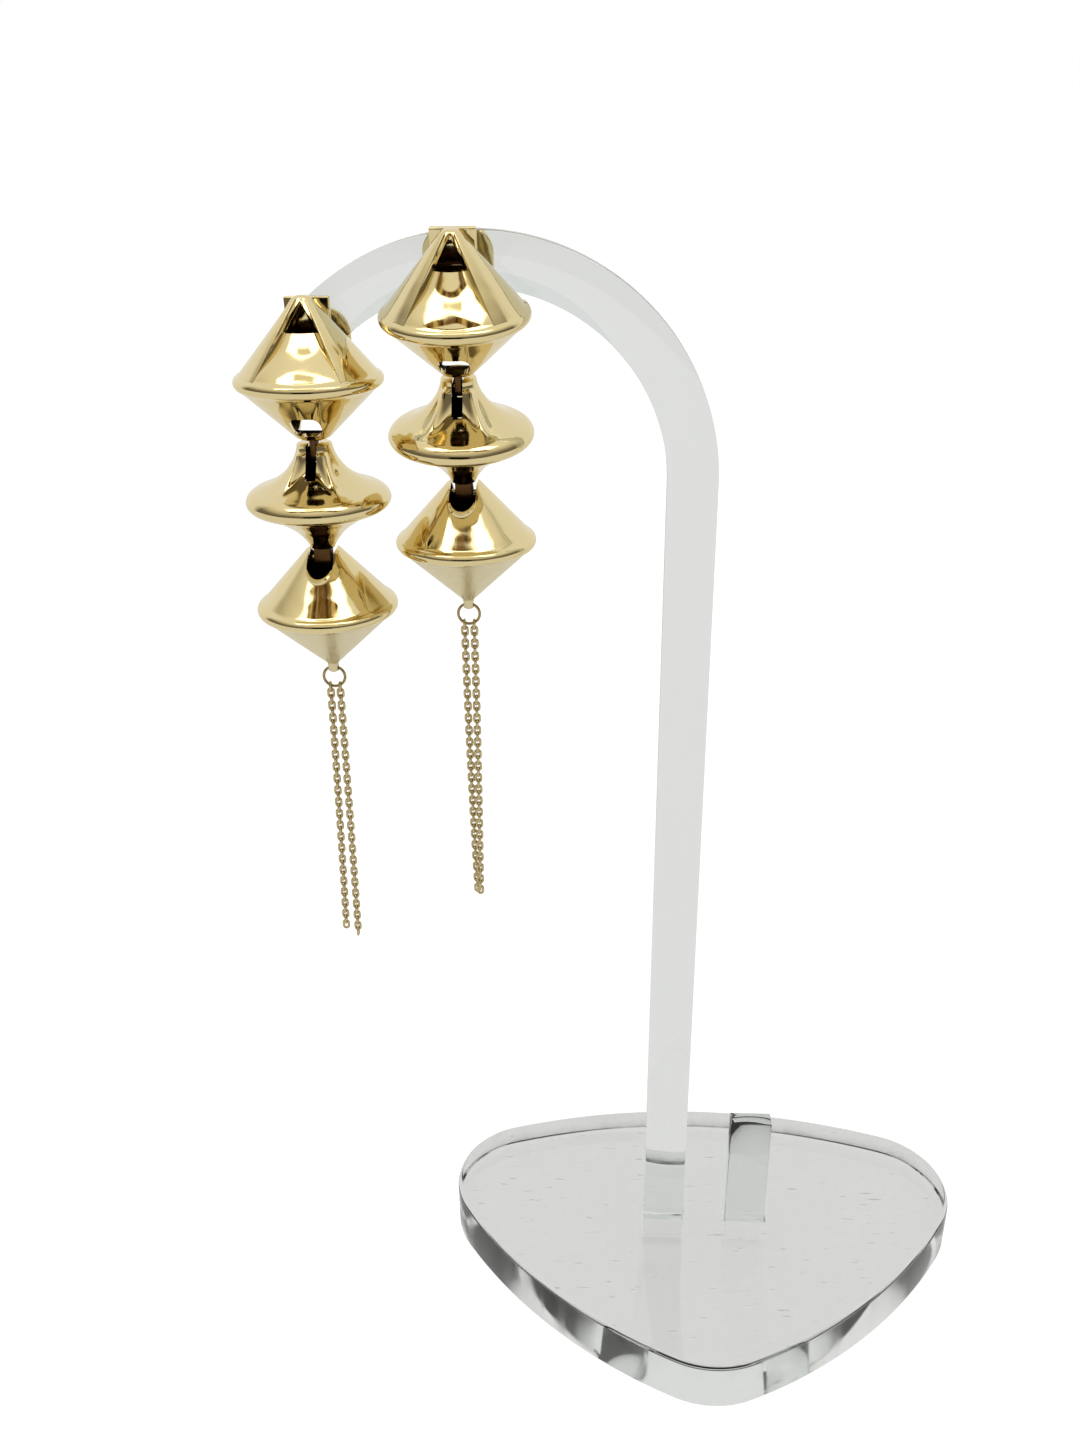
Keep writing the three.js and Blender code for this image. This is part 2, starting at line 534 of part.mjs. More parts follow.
for (const earring of EARRINGS) {
  const { side, arcAngle, rimInside, topLean, middleLean, paddleLean, strands } = earring;
  const x = hookArcX + (HOOK_ARC_RADIUS - rimInside) * Math.cos(radians(arcAngle));
  const rimHeight = HOOK_ARC_HEIGHT + (HOOK_ARC_RADIUS - rimInside) * Math.sin(radians(arcAngle));
  const level = new THREE.Euler();
  const put = (name, body, place, lean = level, material = gold) => {
    const group = new THREE.Group();
    group.position.copy(place);
    group.rotation.copy(lean);
    group.add(meshOf(`${side}_${name}`, body, material));
    part.add(group);
    return (y, z) => new THREE.Vector3(0, y, z).applyEuler(group.rotation).add(group.position);
  };
  // Each cone hangs from the pin above it, so its origin is found from that pin
  const below = (pin, pinHeight, lean) => pin.clone().sub(new THREE.Vector3(0, 0, pinHeight).applyEuler(lean));

  const leanTop = new THREE.Euler(radians(topLean), 0, 0);
  const leanMiddle = new THREE.Euler(radians(middleLean), 0, 0);
  const leanPaddle = new THREE.Euler(radians(paddleLean), 0, 0);
  const rimCentre = new THREE.Vector3(x, SLOT_Y - axisToSheet(x, rimHeight, leanTop.x), rimHeight);

  const onTop = put('top_bicone', topBicone(), rimCentre, leanTop);
  put('clip_paddle', clipPaddle(), onTop(CLIP_PIN_Y, -CLIP_PIN_DEPTH), leanPaddle);

  const upperPin = onTop(0, upperPinUnderTop);
  const onMiddle = put('middle_bicone', middleBicone(), below(upperPin, upperPinHeight, leanMiddle), leanMiddle);

  const lowerPin = onMiddle(0, lowerPinUnderMiddle);
  const onBottom = put('bottom_bicone', bottomBicone(), below(lowerPin, lowerPinHeight, level));

  const ringTop = onBottom(0, -BOTTOM_TIP_DEPTH + RING_HOLE_HEIGHT);
  const onRing = put('tassel_ring', tasselRing(), ringTop);
  const strandTop = onRing(0, -2 * RING_RADIUS - RING_WIRE_RADIUS - CLEARANCE);
  ['chain_a', 'chain_b'].forEach((name, i) => {
    put(name, strand(STRAND_ROUTES[side][i], strands[i] - CLEARANCE), strandTop);
  });
}

export default part;
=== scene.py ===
# %% [markdown]
# A pair of drop earrings hangs on a clear display stand. Each earring is three hollow gold double
# cones, hinged one under the other, with a clip behind the top one and two fine chains below. The
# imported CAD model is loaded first. It fixes every place and every moving body, and the pieces made
# here are dressed over it, in metres.

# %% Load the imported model
import json
import math

import bpy
from mathutils import Matrix, Vector


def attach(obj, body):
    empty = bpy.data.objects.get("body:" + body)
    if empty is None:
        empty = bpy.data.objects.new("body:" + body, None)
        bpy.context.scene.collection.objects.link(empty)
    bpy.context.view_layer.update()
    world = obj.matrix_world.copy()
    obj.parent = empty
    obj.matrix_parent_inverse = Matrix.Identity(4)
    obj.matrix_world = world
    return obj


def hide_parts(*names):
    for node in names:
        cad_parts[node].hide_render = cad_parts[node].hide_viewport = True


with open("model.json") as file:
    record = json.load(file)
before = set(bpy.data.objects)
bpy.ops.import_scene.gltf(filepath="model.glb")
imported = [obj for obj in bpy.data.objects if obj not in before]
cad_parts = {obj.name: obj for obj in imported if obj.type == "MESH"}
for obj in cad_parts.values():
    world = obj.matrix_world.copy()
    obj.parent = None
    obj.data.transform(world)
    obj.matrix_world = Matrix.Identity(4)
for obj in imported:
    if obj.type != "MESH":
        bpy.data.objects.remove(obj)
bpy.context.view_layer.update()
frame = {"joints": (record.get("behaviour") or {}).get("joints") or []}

bpy.ops.object.select_all(action="DESELECT")

# %% [markdown]
# Sizes are written in millimetres, as a goldsmith measures, and turned to metres where they are
# used. They repeat the CAD model's own sizes, so that the smooth pieces fill the same space.

# %% Sizes shared by the three double cones
MM = 0.001
RIM_RADIUS = 10.2
BEAD_RADIUS = 0.95
WALL = 0.55
NECK_RADIUS = 2.45
TURN_SIDES = 192
print("rims:", 2 * RIM_RADIUS, "mm across, wall:", WALL, "mm")

# %% [markdown]
# The photograph looks down on the stand by about 26 degrees, from a little to the right of the
# earrings. The lens is a moderate wide angle, as on a phone held close.

# %% Camera
camera_data = bpy.data.cameras.new("photo_camera")
camera_data.lens = 32.5
camera_data.sensor_width = 36
camera_data.clip_start = 0.01
camera = bpy.data.objects.new("photo_camera", camera_data)
bpy.context.scene.collection.objects.link(camera)
sideways, downwards, roll = math.radians(3), math.radians(90 - 25.7), math.radians(-0.69)
camera.matrix_world = (
    Matrix.Translation(Vector((-20.2, -179.6, 201.0)) * MM)
    @ Matrix.Rotation(sideways, 4, "Z")
    @ Matrix.Rotation(downwards, 4, "X")
    @ Matrix.Rotation(roll, 4, "Z")
)
bpy.context.scene.camera = camera
print("camera at", [round(value, 4) for value in camera.matrix_world.translation])

# %% [markdown]
# Three small helpers serve every material: one turns an sRGB hex colour to linear, one adds a node
# with its settings, constants and links, and one starts a material with its shader.

# %% Material helpers
def linear(hex_colour):
    """An sRGB hex colour as linear red, green, blue and alpha."""
    shares = [int(hex_colour[i:i + 2], 16) / 255 for i in (1, 3, 5)]
    return [s / 12.92 if s <= 0.04045 else ((s + 0.055) / 1.055) ** 2.4 for s in shares] + [1]


def add(tree, kind, values=None, links=None, stops=(), **settings):
    """Adds a node: settings are its properties, values its constants, links its input sources, and
    stops a ramp's positions and hex colours."""
    made = tree.nodes.new(kind)
    for name, value in settings.items():
        setattr(made, name, value)
    for name, value in (values or {}).items():
        made.inputs[name].default_value = value
    for name, source in (links or {}).items():
        tree.links.new(source, made.inputs[name])
    for _ in stops[2:]:
        made.color_ramp.elements.new(0.5)
    for i, (position, colour) in enumerate(stops):
        made.color_ramp.elements[i].position = position
        made.color_ramp.elements[i].color = linear(colour)
    return made


def start_material(name, **values):
    """A material with a Principled shader, and its tree, shader and Object coordinates."""
    material = bpy.data.materials.new(name)
    material.use_nodes = True
    tree = material.node_tree
    shader = tree.nodes["Principled BSDF"]
    for socket, value in values.items():
        shader.inputs[socket.replace("_", " ")].default_value = value
    place = add(tree, "ShaderNodeTexCoord").outputs["Object"]
    return material, tree, shader, place


# %% [markdown]
# The cones are sheet metal plated with pale yellow gold and polished on a wheel. Such a surface is
# a mirror, with the hand of the polisher in it: reflections wander a little over a few
# millimetres, and haze comes and goes where the wheel pressed less.

# %% Polished gold plate
def gold_material(name, colour, haze_low, haze_high, wave_height):
    """Gold whose haze and wavy reflections vary over the surface."""
    material, tree, shader, place = start_material(name, Base_Color=linear(colour), Metallic=1.0)
    haze_size, wave_size = 1.5 * MM, 4 * MM
    haze = add(tree, "ShaderNodeTexNoise", {"Scale": 1 / haze_size, "Detail": 4.0}, {"Vector": place})
    roughness = add(
        tree, "ShaderNodeMapRange",
        {"From Min": 0.3, "From Max": 0.7, "To Min": haze_low, "To Max": haze_high},
        {"Value": haze.outputs["Fac"]},
    )
    tree.links.new(roughness.outputs["Result"], shader.inputs["Roughness"])
    waves = add(tree, "ShaderNodeTexNoise", {"Scale": 1 / wave_size, "Detail": 1.0}, {"Vector": place})
    bump = add(
        tree, "ShaderNodeBump", {"Strength": 1.0, "Distance": wave_height * MM},
        {"Height": waves.outputs["Fac"]},
    )
    tree.links.new(bump.outputs["Normal"], shader.inputs["Normal"])
    return material


# A pale mirror with wandering reflections, for the cones and the clips.
polished_gold = gold_material("polished_gold_plate", "#e5d3a0", 0.05, 0.12, 0.12)
# A broad even sheen with no clear reflection, for the lowest cones' under sides.
satin_gold = gold_material("satin_brushed_gold_plate", "#dccfa6", 0.26, 0.36, 0.05)
# A darker and duller gold, so that the thin ring stands out against the paper.
wire_gold = gold_material("drawn_wire_gold", "#a8946a", 0.18, 0.3, 0.02)
# Many small soft glints, one on each link.
chain_gold = gold_material("tumbled_chain_gold", "#c6b588", 0.14, 0.26, 0.02)
# Painted shade: a dull dark brown on the unpolished insides, so that the slits, the notches and the windows
# look deep.
inside_gold_painted_shade = gold_material("unpolished_plate_inside_painted_shade", "#6e5030", 0.35, 0.55, 0.05)
golds = (polished_gold, satin_gold, wire_gold, chain_gold, inside_gold_painted_shade)
print("gold materials:", [gold.name for gold in golds])

# %% [markdown]
# The stand is clear cast acrylic, sawn and flame-polished. Acrylic bends light less than glass,
# takes a faint cool tint where it is thick, and its large faces carry fine scuffs from use.

# %% Clear cast acrylic
ACRYLIC_IOR = 1.49
SCUFF_SIZE, SCRATCH_LENGTH, SCRATCH_WIDTH = 6, 5, 0.7


def acrylic_material(name, colour, mark_colour):
    """Clear acrylic whose scuffs haze it a little here and there, with short darker scratches."""
    material, tree, shader, place = start_material(
        name, Base_Color=linear(colour), Transmission_Weight=1.0, IOR=ACRYLIC_IOR,
    )
    scuffs = add(
        tree, "ShaderNodeTexNoise", {"Scale": 1 / (SCUFF_SIZE * MM), "Detail": 6.0}, {"Vector": place},
    )
    scuff_roughness = add(
        tree, "ShaderNodeMapRange",
        {"From Min": 0.55, "From Max": 0.75, "To Min": 0.0, "To Max": 0.08},
        {"Value": scuffs.outputs["Fac"]},
    )
    tree.links.new(scuff_roughness.outputs["Result"], shader.inputs["Roughness"])
    along, across = 1 / (SCRATCH_LENGTH * MM), 1 / (SCRATCH_WIDTH * MM)
    stretched = add(tree, "ShaderNodeMapping", {"Scale": (along, across, across)}, {"Vector": place})
    scratches = add(
        tree, "ShaderNodeTexNoise", {"Scale": 1.0, "Detail": 3.0}, {"Vector": stretched.outputs["Vector"]},
    )
    tint = add(
        tree, "ShaderNodeValToRGB", links={"Fac": scratches.outputs["Fac"]},
        stops=[(0.68, colour), (0.74, mark_colour)],
    )
    tree.links.new(tint.outputs["Color"], shader.inputs["Base Color"])
    return material


# Nearly invisible but for its edges, for the thin hook and the tab.
strip_acrylic = acrylic_material("clear_cast_acrylic_strip", "#f0f2f1", "#eceeed")
# Clear and bright with a few brownish scratches, for the thick base's faces.
block_acrylic = acrylic_material("clear_cast_acrylic_block", "#f6f7f5", "#b9b6aa")
print("acrylic materials made:", strip_acrylic.name, block_acrylic.name)

# %% [markdown]
# The block's edge was sawn and only flame-polished after, so fine upright saw marks are left in it.
# They scatter the light, which turns the edge milky beside the clear faces.

# %% Sawn acrylic edge
SAW_MARK_SPACING, SAW_MARK_LENGTH = 3.0, 20
sawn_acrylic, sawn_tree, sawn_shader, sawn_place = start_material(
    "sawn_acrylic_edge", Base_Color=linear("#f6f7f5"), Transmission_Weight=1.0, IOR=ACRYLIC_IOR,
)
saw_across, saw_upwards = 1 / (SAW_MARK_SPACING * MM), 1 / (SAW_MARK_LENGTH * MM)
upright_marks = add(
    sawn_tree, "ShaderNodeMapping", {"Scale": (saw_across, saw_across, saw_upwards)},
    {"Vector": sawn_place},
)
saw_noise = add(
    sawn_tree, "ShaderNodeTexNoise", {"Scale": 1.0, "Detail": 2.0},
    {"Vector": upright_marks.outputs["Vector"]},
)
sawn_roughness = add(
    sawn_tree, "ShaderNodeMapRange", {"From Min": 0.3, "From Max": 0.7, "To Min": 0.03, "To Max": 0.2},
    {"Value": saw_noise.outputs["Fac"]},
)
sawn_tree.links.new(sawn_roughness.outputs["Result"], sawn_shader.inputs["Roughness"])
print("sawn edge material made, marks", SAW_MARK_SPACING, "mm apart")

# %% [markdown]
# A few modelling helpers follow. A turned skin starts as a circle, which is extruded and scaled
# from row to row, as a turner works down a profile. A cutter or a soldered part is a shaped
# primitive, and the Boolean modifier joins it to the piece or cuts it away.

# %% Modelling helpers
def select_only(*pieces):
    bpy.ops.object.select_all(action="DESELECT")
    for piece in pieces:
        piece.select_set(True)
    bpy.context.view_layer.objects.active = pieces[0]


def apply_modifier(piece, kind, **settings):
    """Adds a modifier to a piece and applies it."""
    select_only(piece)
    modifier = piece.modifiers.new(kind.title(), kind)
    for name, value in settings.items():
        setattr(modifier, name, value)
    bpy.ops.object.modifier_apply(modifier=modifier.name)


def combine(piece, other, how):
    """Joins other to the piece (UNION), or cuts it away (DIFFERENCE)."""
    apply_modifier(piece, "BOOLEAN", operation=how, object=other, solver="EXACT")
    bpy.data.objects.remove(other)


def settle(piece):
    """Puts the piece's place into its mesh, so that its object stays at the origin."""
    select_only(piece)
    bpy.ops.object.transform_apply(location=True, rotation=True, scale=True)
    return piece


def turned(rows, sides=TURN_SIDES):
    """A closed turned skin through rows of (radius, height), from the top down."""
    radius, height = rows[0]
    bpy.ops.mesh.primitive_circle_add(vertices=sides, radius=radius * MM, location=(0, 0, height * MM))
    piece = settle(bpy.context.object)
    bpy.ops.object.mode_set(mode="EDIT")
    bpy.ops.mesh.select_all(action="SELECT")
    bpy.ops.mesh.edge_face_add()
    bpy.ops.mesh.select_mode(type="EDGE")
    for next_radius, next_height in rows[1:]:
        bpy.ops.mesh.extrude_edges_move(
            TRANSFORM_OT_translate={"value": (0, 0, (next_height - height) * MM)},
        )
        grow = next_radius / radius
        bpy.ops.transform.resize(value=(grow, grow, 1), center_override=(0, 0, next_height * MM))
        radius, height = next_radius, next_height
    bpy.ops.mesh.edge_face_add()
    bpy.ops.mesh.select_all(action="SELECT")
    bpy.ops.mesh.normals_make_consistent(inside=False)
    bpy.ops.object.mode_set(mode="OBJECT")
    return piece


def block(width, depth, height, centre, edge=0.0, segments=3):
    """A block with rounded edges, at its centre."""
    bpy.ops.mesh.primitive_cube_add(size=1, location=Vector(centre) * MM)
    piece = bpy.context.object
    piece.scale = Vector((width, depth, height)) * MM
    settle(piece)
    if edge:
        bpy.ops.object.mode_set(mode="EDIT")
        bpy.ops.mesh.select_all(action="SELECT")
        bpy.ops.mesh.bevel(offset=edge * MM, segments=segments)
        bpy.ops.object.mode_set(mode="OBJECT")
    return piece


def rod(radius, length, centre, along="X", edge=0.0, sides=48):
    """A round rod with rounded ends, along an axis."""
    turn = {"X": (0, math.pi / 2, 0), "Y": (math.pi / 2, 0, 0), "Z": (0, 0, 0)}[along]
    bpy.ops.mesh.primitive_cylinder_add(
        vertices=sides, radius=radius * MM, depth=length * MM, location=Vector(centre) * MM, rotation=turn,
    )
    piece = settle(bpy.context.object)
    if edge:
        apply_modifier(piece, "BEVEL", width=edge * MM, segments=3, limit_method="ANGLE")
    return piece


def wire(points, radius, sides=12):
    """A round wire through points, whose radius may change from point to point."""
    curve = bpy.data.curves.new("wire", "CURVE")
    curve.dimensions = "3D"
    curve.bevel_depth = MM
    curve.bevel_resolution = sides // 4
    curve.use_fill_caps = True
    spline = curve.splines.new("POLY")
    spline.points.add(len(points) - 1)
    radii = radius if isinstance(radius, list) else [radius] * len(points)
    for spline_point, point, size in zip(spline.points, points, radii):
        spline_point.co = (*(Vector(point) * MM), 1)
        spline_point.radius = size
    piece = bpy.data.objects.new("wire", curve)
    bpy.context.scene.collection.objects.link(piece)
    select_only(piece)
    bpy.ops.object.convert(target="MESH")
    return bpy.context.object


def smooth(piece, degrees=32):
    select_only(piece)
    bpy.ops.object.shade_smooth_by_angle(angle=math.radians(degrees))


def eased(value, start, end):
    """0 before start, 1 after end, and a smooth rise between."""
    share = min(max((value - start) / (end - start), 0), 1)
    return share * share * (3 - 2 * share)


def between(first, last, count):
    """Rows evenly spaced between two rows, without the two themselves."""
    return [
        tuple(a + (b - a) * i / (count + 1) for a, b in zip(first, last)) for i in range(1, count + 1)
    ]


def curve_rows(points, steps):
    """Rows on a smooth curve through the given rows."""
    rows = []
    for i in range(len(points) - 1):
        before, a, b = points[max(i - 1, 0)], points[i], points[i + 1]
        after = points[min(i + 2, len(points) - 1)]
        for step in range(steps):
            t = step / steps
            rows.append(tuple(
                0.5 * (2 * a[k] + (b[k] - before[k]) * t
                       + (2 * before[k] - 5 * a[k] + 4 * b[k] - after[k]) * t ** 2
                       + (3 * a[k] - before[k] - 3 * b[k] + after[k]) * t ** 3)
                for k in range(2)
            ))
    return rows + [points[-1]]


def cavity_rows(rows, low, high):
    """The rows moved in by the wall, square to the surface, without the bead's own."""
    inner = []
    for before, row, after in zip(rows, rows[1:], rows[2:]):
        along = Vector((after[0] - before[0], after[1] - before[1])).normalized()
        radius, height = row[0] + along.y * WALL, row[1] - along.x * WALL
        clear_of_bead = abs(row[1]) > BEAD_RADIUS and abs(height) > 0.25
        if clear_of_bead and low < height < high and radius > 0.1:
            inner.append((radius, height))
    return inner


def push_skin(piece, depth_at):
    """Moves each point of a skin along its normal, by a depth from its azimuth, radius and height."""
    moves = []
    for vertex in piece.data.vertices:
        x, y, z = vertex.co / MM
        moves.append(vertex.normal * depth_at(math.degrees(math.atan2(x, -y)), math.hypot(x, y), z) * MM)
    for vertex, move in zip(piece.data.vertices, moves):
        vertex.co += move


# %% [markdown]
# All three rims are the same soft bead, where the upper and lower shells were pressed over each
# other and soldered. It stands a little proud, so it draws one dark and one bright line.

# %% Rim bead
bead_centre = RIM_RADIUS - BEAD_RADIUS
bead_turns = [78, 65, 52, 39, 26, 13, 0, -13, -26, -39, -52, -65, -78]
bead = [
    (bead_centre + BEAD_RADIUS * math.cos(math.radians(turn)), BEAD_RADIUS * math.sin(math.radians(turn)))
    for turn in bead_turns
]
bead_top, bead_bottom = bead[0], bead[-1]
print("bead rows:", len(bead), "outer radius", RIM_RADIUS, "mm")

# %% [markdown]
# The top double cone comes first. Its front is a pressed panel between two flat bands, which meet
# at the apex and stand out from it, and a three-cornered window opens between them. The panel is
# pushed in while the skin is still a single surface, before it gets its wall.

# %% Top double cone, skin and panel
APEX_HEIGHT = 11.0
TOP_TIP_DEPTH = 8.2
TIP_CHAMFER = 0.5
BACK_PLATE_Y = 3.4
BAND_AZIMUTH = 45
PANEL_DEPTH, PANEL_EDGE_DEGREES = 0.7, 7
PANEL_FOOT, PANEL_HEAD = (1.2, 5.6), (7, 9)

top_shoulder = (1.15, APEX_HEIGHT - 0.3)
top_tip_edge = (NECK_RADIUS, -TOP_TIP_DEPTH + TIP_CHAMFER)
top_rows = (
    [(0.3, APEX_HEIGHT), (0.7, APEX_HEIGHT - 0.05), (0.98, APEX_HEIGHT - 0.15), top_shoulder]
    + between(top_shoulder, bead_top, 26)
    + bead
    + between(bead_bottom, top_tip_edge, 16)
    + [top_tip_edge, (NECK_RADIUS / 2, -TOP_TIP_DEPTH)]
)


def panel_depth(azimuth, radius, height):
    """The panel is deepest in its middle, and fades at its sides, its foot and its head."""
    sideways_share = 1 - eased(abs(azimuth), BAND_AZIMUTH - PANEL_EDGE_DEGREES, BAND_AZIMUTH)
    upright_share = eased(height, *PANEL_FOOT) * (1 - eased(height, *PANEL_HEAD))
    return -PANEL_DEPTH * sideways_share * upright_share


top_cone = turned(top_rows)
push_skin(top_cone, panel_depth)
print("top skin points:", len(top_cone.data.vertices))

# %% [markdown]
# Behind, the cone is cut flat to lie against the ear. The bisect tool cuts the skin and closes
# the cut. A second skin, one wall further in, is cut the same way and taken out of the first. That
# keeps the wall even where Solidify would fold it over at the flat back's sharp edge. The inside
# takes the unpolished finish, whose dark brown is painted shade.

# %% Top double cone, flat back and wall
def cut_flat_back(piece, back_y):
    select_only(piece)
    bpy.ops.object.mode_set(mode="EDIT")
    bpy.ops.mesh.select_all(action="SELECT")
    bpy.ops.mesh.bisect(
        plane_co=(0, back_y * MM, 0), plane_no=(0, 1, 0), clear_outer=True, use_fill=True, threshold=1e-7,
    )
    bpy.ops.object.mode_set(mode="OBJECT")


def hollow(piece, cavity):
    """Takes the cavity out of a skin, polished outside and unpolished inside; the inside's dark brown is
    painted shade.
    """
    for part in (piece, cavity):
        part.data.materials.append(polished_gold)
        part.data.materials.append(inside_gold_painted_shade)
    for face in cavity.data.polygons:
        face.material_index = 1
    combine(piece, cavity, "DIFFERENCE")


cut_flat_back(top_cone, BACK_PLATE_Y)
top_cavity = turned(cavity_rows(top_rows, -TOP_TIP_DEPTH + 2 * TIP_CHAMFER, APEX_HEIGHT - 2 * WALL))
push_skin(top_cavity, panel_depth)
cut_flat_back(top_cavity, BACK_PLATE_Y - WALL)
hollow(top_cone, top_cavity)
print("top cone faces:", len(top_cone.data.polygons))

# %% [markdown]
# The window under the apex is cut with a three-sided prism. The rounded window near the tip has a
# larger opening behind it, in the back, so that the pale background shows through the cone.

# %% Top double cone, windows
WINDOW_TOP, WINDOW_SILL, WINDOW_WIDTH = 10.5, 6.6, 5.5
TIP_WINDOW_WIDTH, TIP_WINDOW_HEIGHT, TIP_WINDOW_CENTRE, TIP_WINDOW_CORNER = 4.1, 3.0, -5.6, 1.1
BACK_OPENING_WIDTH, BACK_OPENING_TOP, BACK_OPENING_CORNER = 4.4, -5.3, 0.6
TIP_FLOOR = 0.2

bpy.ops.mesh.primitive_cylinder_add(
    vertices=3, radius=1, depth=2 * RIM_RADIUS * MM, location=(0, -RIM_RADIUS * MM, 0),
    rotation=(math.pi / 2, 0, 0),
)
prism = bpy.context.object
prism.data.transform(Matrix.Diagonal((
    WINDOW_WIDTH * MM / math.sqrt(3), (WINDOW_TOP - WINDOW_SILL) * MM / 1.5, 1, 1,
)))
settle(prism)
prism_low = min(vertex.co.z for vertex in prism.data.vertices)
prism.location.z = WINDOW_SILL * MM - prism_low
settle(prism)
combine(top_cone, prism, "DIFFERENCE")

combine(top_cone, block(
    TIP_WINDOW_WIDTH, RIM_RADIUS, TIP_WINDOW_HEIGHT, (0, -RIM_RADIUS / 2, TIP_WINDOW_CENTRE),
    edge=TIP_WINDOW_CORNER, segments=8,
), "DIFFERENCE")
back_opening_height = TOP_TIP_DEPTH + BACK_OPENING_TOP - TIP_FLOOR
combine(top_cone, block(
    BACK_OPENING_WIDTH, RIM_RADIUS, back_opening_height,
    (0, RIM_RADIUS / 2, BACK_OPENING_TOP - back_opening_height / 2),
    edge=BACK_OPENING_CORNER, segments=8,
), "DIFFERENCE")
print("windows cut, faces:", len(top_cone.data.polygons))

# %% [markdown]
# The two bands are flat strips soldered from the apex down the cone. Each is a block that widens
# downwards and sinks into the cone at its foot, so that it fades out, with eased edges.

# %% Top double cone, bands
BAND_TOP_WIDTH, BAND_FOOT_WIDTH, BAND_THICKNESS, BAND_EDGE = 0.9, 2.4, 1.15, 0.09
BAND_TOP_HEIGHT, BAND_FOOT_HEIGHT = 10.75, 1.0
BAND_RISE_AT_TOP, BAND_RISE_AT_FOOT = 0.25, 0.02


def cone_radius(height):
    """The radius of the top cone's upper side at a height."""
    share = (top_shoulder[1] - height) / (top_shoulder[1] - bead_top[1])
    return top_shoulder[0] + share * (bead_top[0] - top_shoulder[0])


for side in (-1, 1):
    azimuth = math.radians(side * BAND_AZIMUTH)
    out = Vector((math.sin(azimuth), -math.cos(azimuth), 0))
    head = out * (cone_radius(BAND_TOP_HEIGHT) + BAND_RISE_AT_TOP) + Vector((0, 0, BAND_TOP_HEIGHT))
    foot = out * (cone_radius(BAND_FOOT_HEIGHT) + BAND_RISE_AT_FOOT) + Vector((0, 0, BAND_FOOT_HEIGHT))
    band = block(1, 1, 1, (0, 0, 0))
    along = (foot - head).normalized()
    across = along.cross(out).normalized()
    outwards = across.cross(along).normalized()
    for vertex in band.data.vertices:
        lower = vertex.co.z < 0
        end = foot if lower else head
        width = BAND_FOOT_WIDTH if lower else BAND_TOP_WIDTH
        depth = 0 if vertex.co.y < 0 else -BAND_THICKNESS
        sign = 1 if vertex.co.x > 0 else -1
        vertex.co = (end + across * sign * width / 2 + outwards * depth) * MM
    select_only(band)
    bpy.ops.object.mode_set(mode="EDIT")
    bpy.ops.mesh.select_all(action="SELECT")
    bpy.ops.mesh.normals_make_consistent(inside=False)
    bpy.ops.mesh.bevel(offset=BAND_EDGE * MM, segments=3)
    bpy.ops.object.mode_set(mode="OBJECT")
    combine(top_cone, band, "UNION")
print("bands joined, faces:", len(top_cone.data.polygons))

# %% [markdown]
# The head behind the apex, the domed plate at the tip, the tongue with its eye and the two ears of
# the clip are soldered on. The tongue's eye turns on the middle cone's pin, and the ears hold the
# clip's. A rounded end stands a hair proud of its strip, so that no two faces share a plane.

# %% Top double cone, head, tongue and ears
CLEARANCE = 0.3
PIN_RADIUS = 0.35
EYE_WALL = 0.5
EYE_RADIUS = PIN_RADIUS + CLEARANCE
KNUCKLE_RADIUS = EYE_RADIUS + EYE_WALL
PROUD_RADIUS, PROUD_WIDTH = 0.02, 0.06
UPPER_PIN_DEPTH = 1.5
TONGUE_THICKNESS = 0.9
HEAD_WIDTH, HEAD_HEIGHT = 6.2, 10.5
WEB_WIDTH, WEB_HEIGHT, WEB_FRONT = 2, 0.6, 1.0
CLIP_PIN_Y, CLIP_PIN_DEPTH = 7.4, 4.4
CLIP_EAR_THICKNESS, CLIP_KNUCKLE_WIDTH = 0.7, 1.4
upper_pin_under_top = -TOP_TIP_DEPTH - CLEARANCE - UPPER_PIN_DEPTH

head_foot = WINDOW_SILL - 1
combine(top_cone, block(
    HEAD_WIDTH, 2 * WALL, HEAD_HEIGHT - head_foot,
    (0, BACK_PLATE_Y - WALL, (HEAD_HEIGHT + head_foot) / 2), edge=0.25,
), "UNION")
combine(top_cone, block(
    WEB_WIDTH, BACK_PLATE_Y - WALL - WEB_FRONT, WEB_HEIGHT,
    (0, (BACK_PLATE_Y - WALL + WEB_FRONT) / 2, HEAD_HEIGHT - WEB_HEIGHT / 2), edge=0.15,
), "UNION")

dome = turned([
    (0.3, -7.1), (0.9, -7.14), (1.4, -7.24), (1.85, -7.42), (2.0, -7.6), (1.6, -7.9), (1.1, -8.1),
], sides=64)
combine(top_cone, dome, "UNION")


def eye_strip(thickness, top_height, pin_height):
    """A strip that comes down to a round eye, unpolished because the wheel can't reach it, and all dark
    brown as painted shade in its slit.
    """
    strip = block(
        thickness, 2 * KNUCKLE_RADIUS, top_height - pin_height,
        (0, 0, (top_height + pin_height) / 2), edge=0.12,
    )
    combine(strip, rod(
        KNUCKLE_RADIUS + PROUD_RADIUS, thickness + PROUD_WIDTH, (0, 0, pin_height), edge=0.1,
    ), "UNION")
    combine(strip, rod(EYE_RADIUS, 3 * thickness, (0, 0, pin_height)), "DIFFERENCE")
    strip.data.materials.append(polished_gold)
    strip.data.materials.append(inside_gold_painted_shade)
    for face in strip.data.polygons:
        face.material_index = 1
    return strip


combine(top_cone, eye_strip(TONGUE_THICKNESS, -TOP_TIP_DEPTH + TIP_CHAMFER, upper_pin_under_top), "UNION")

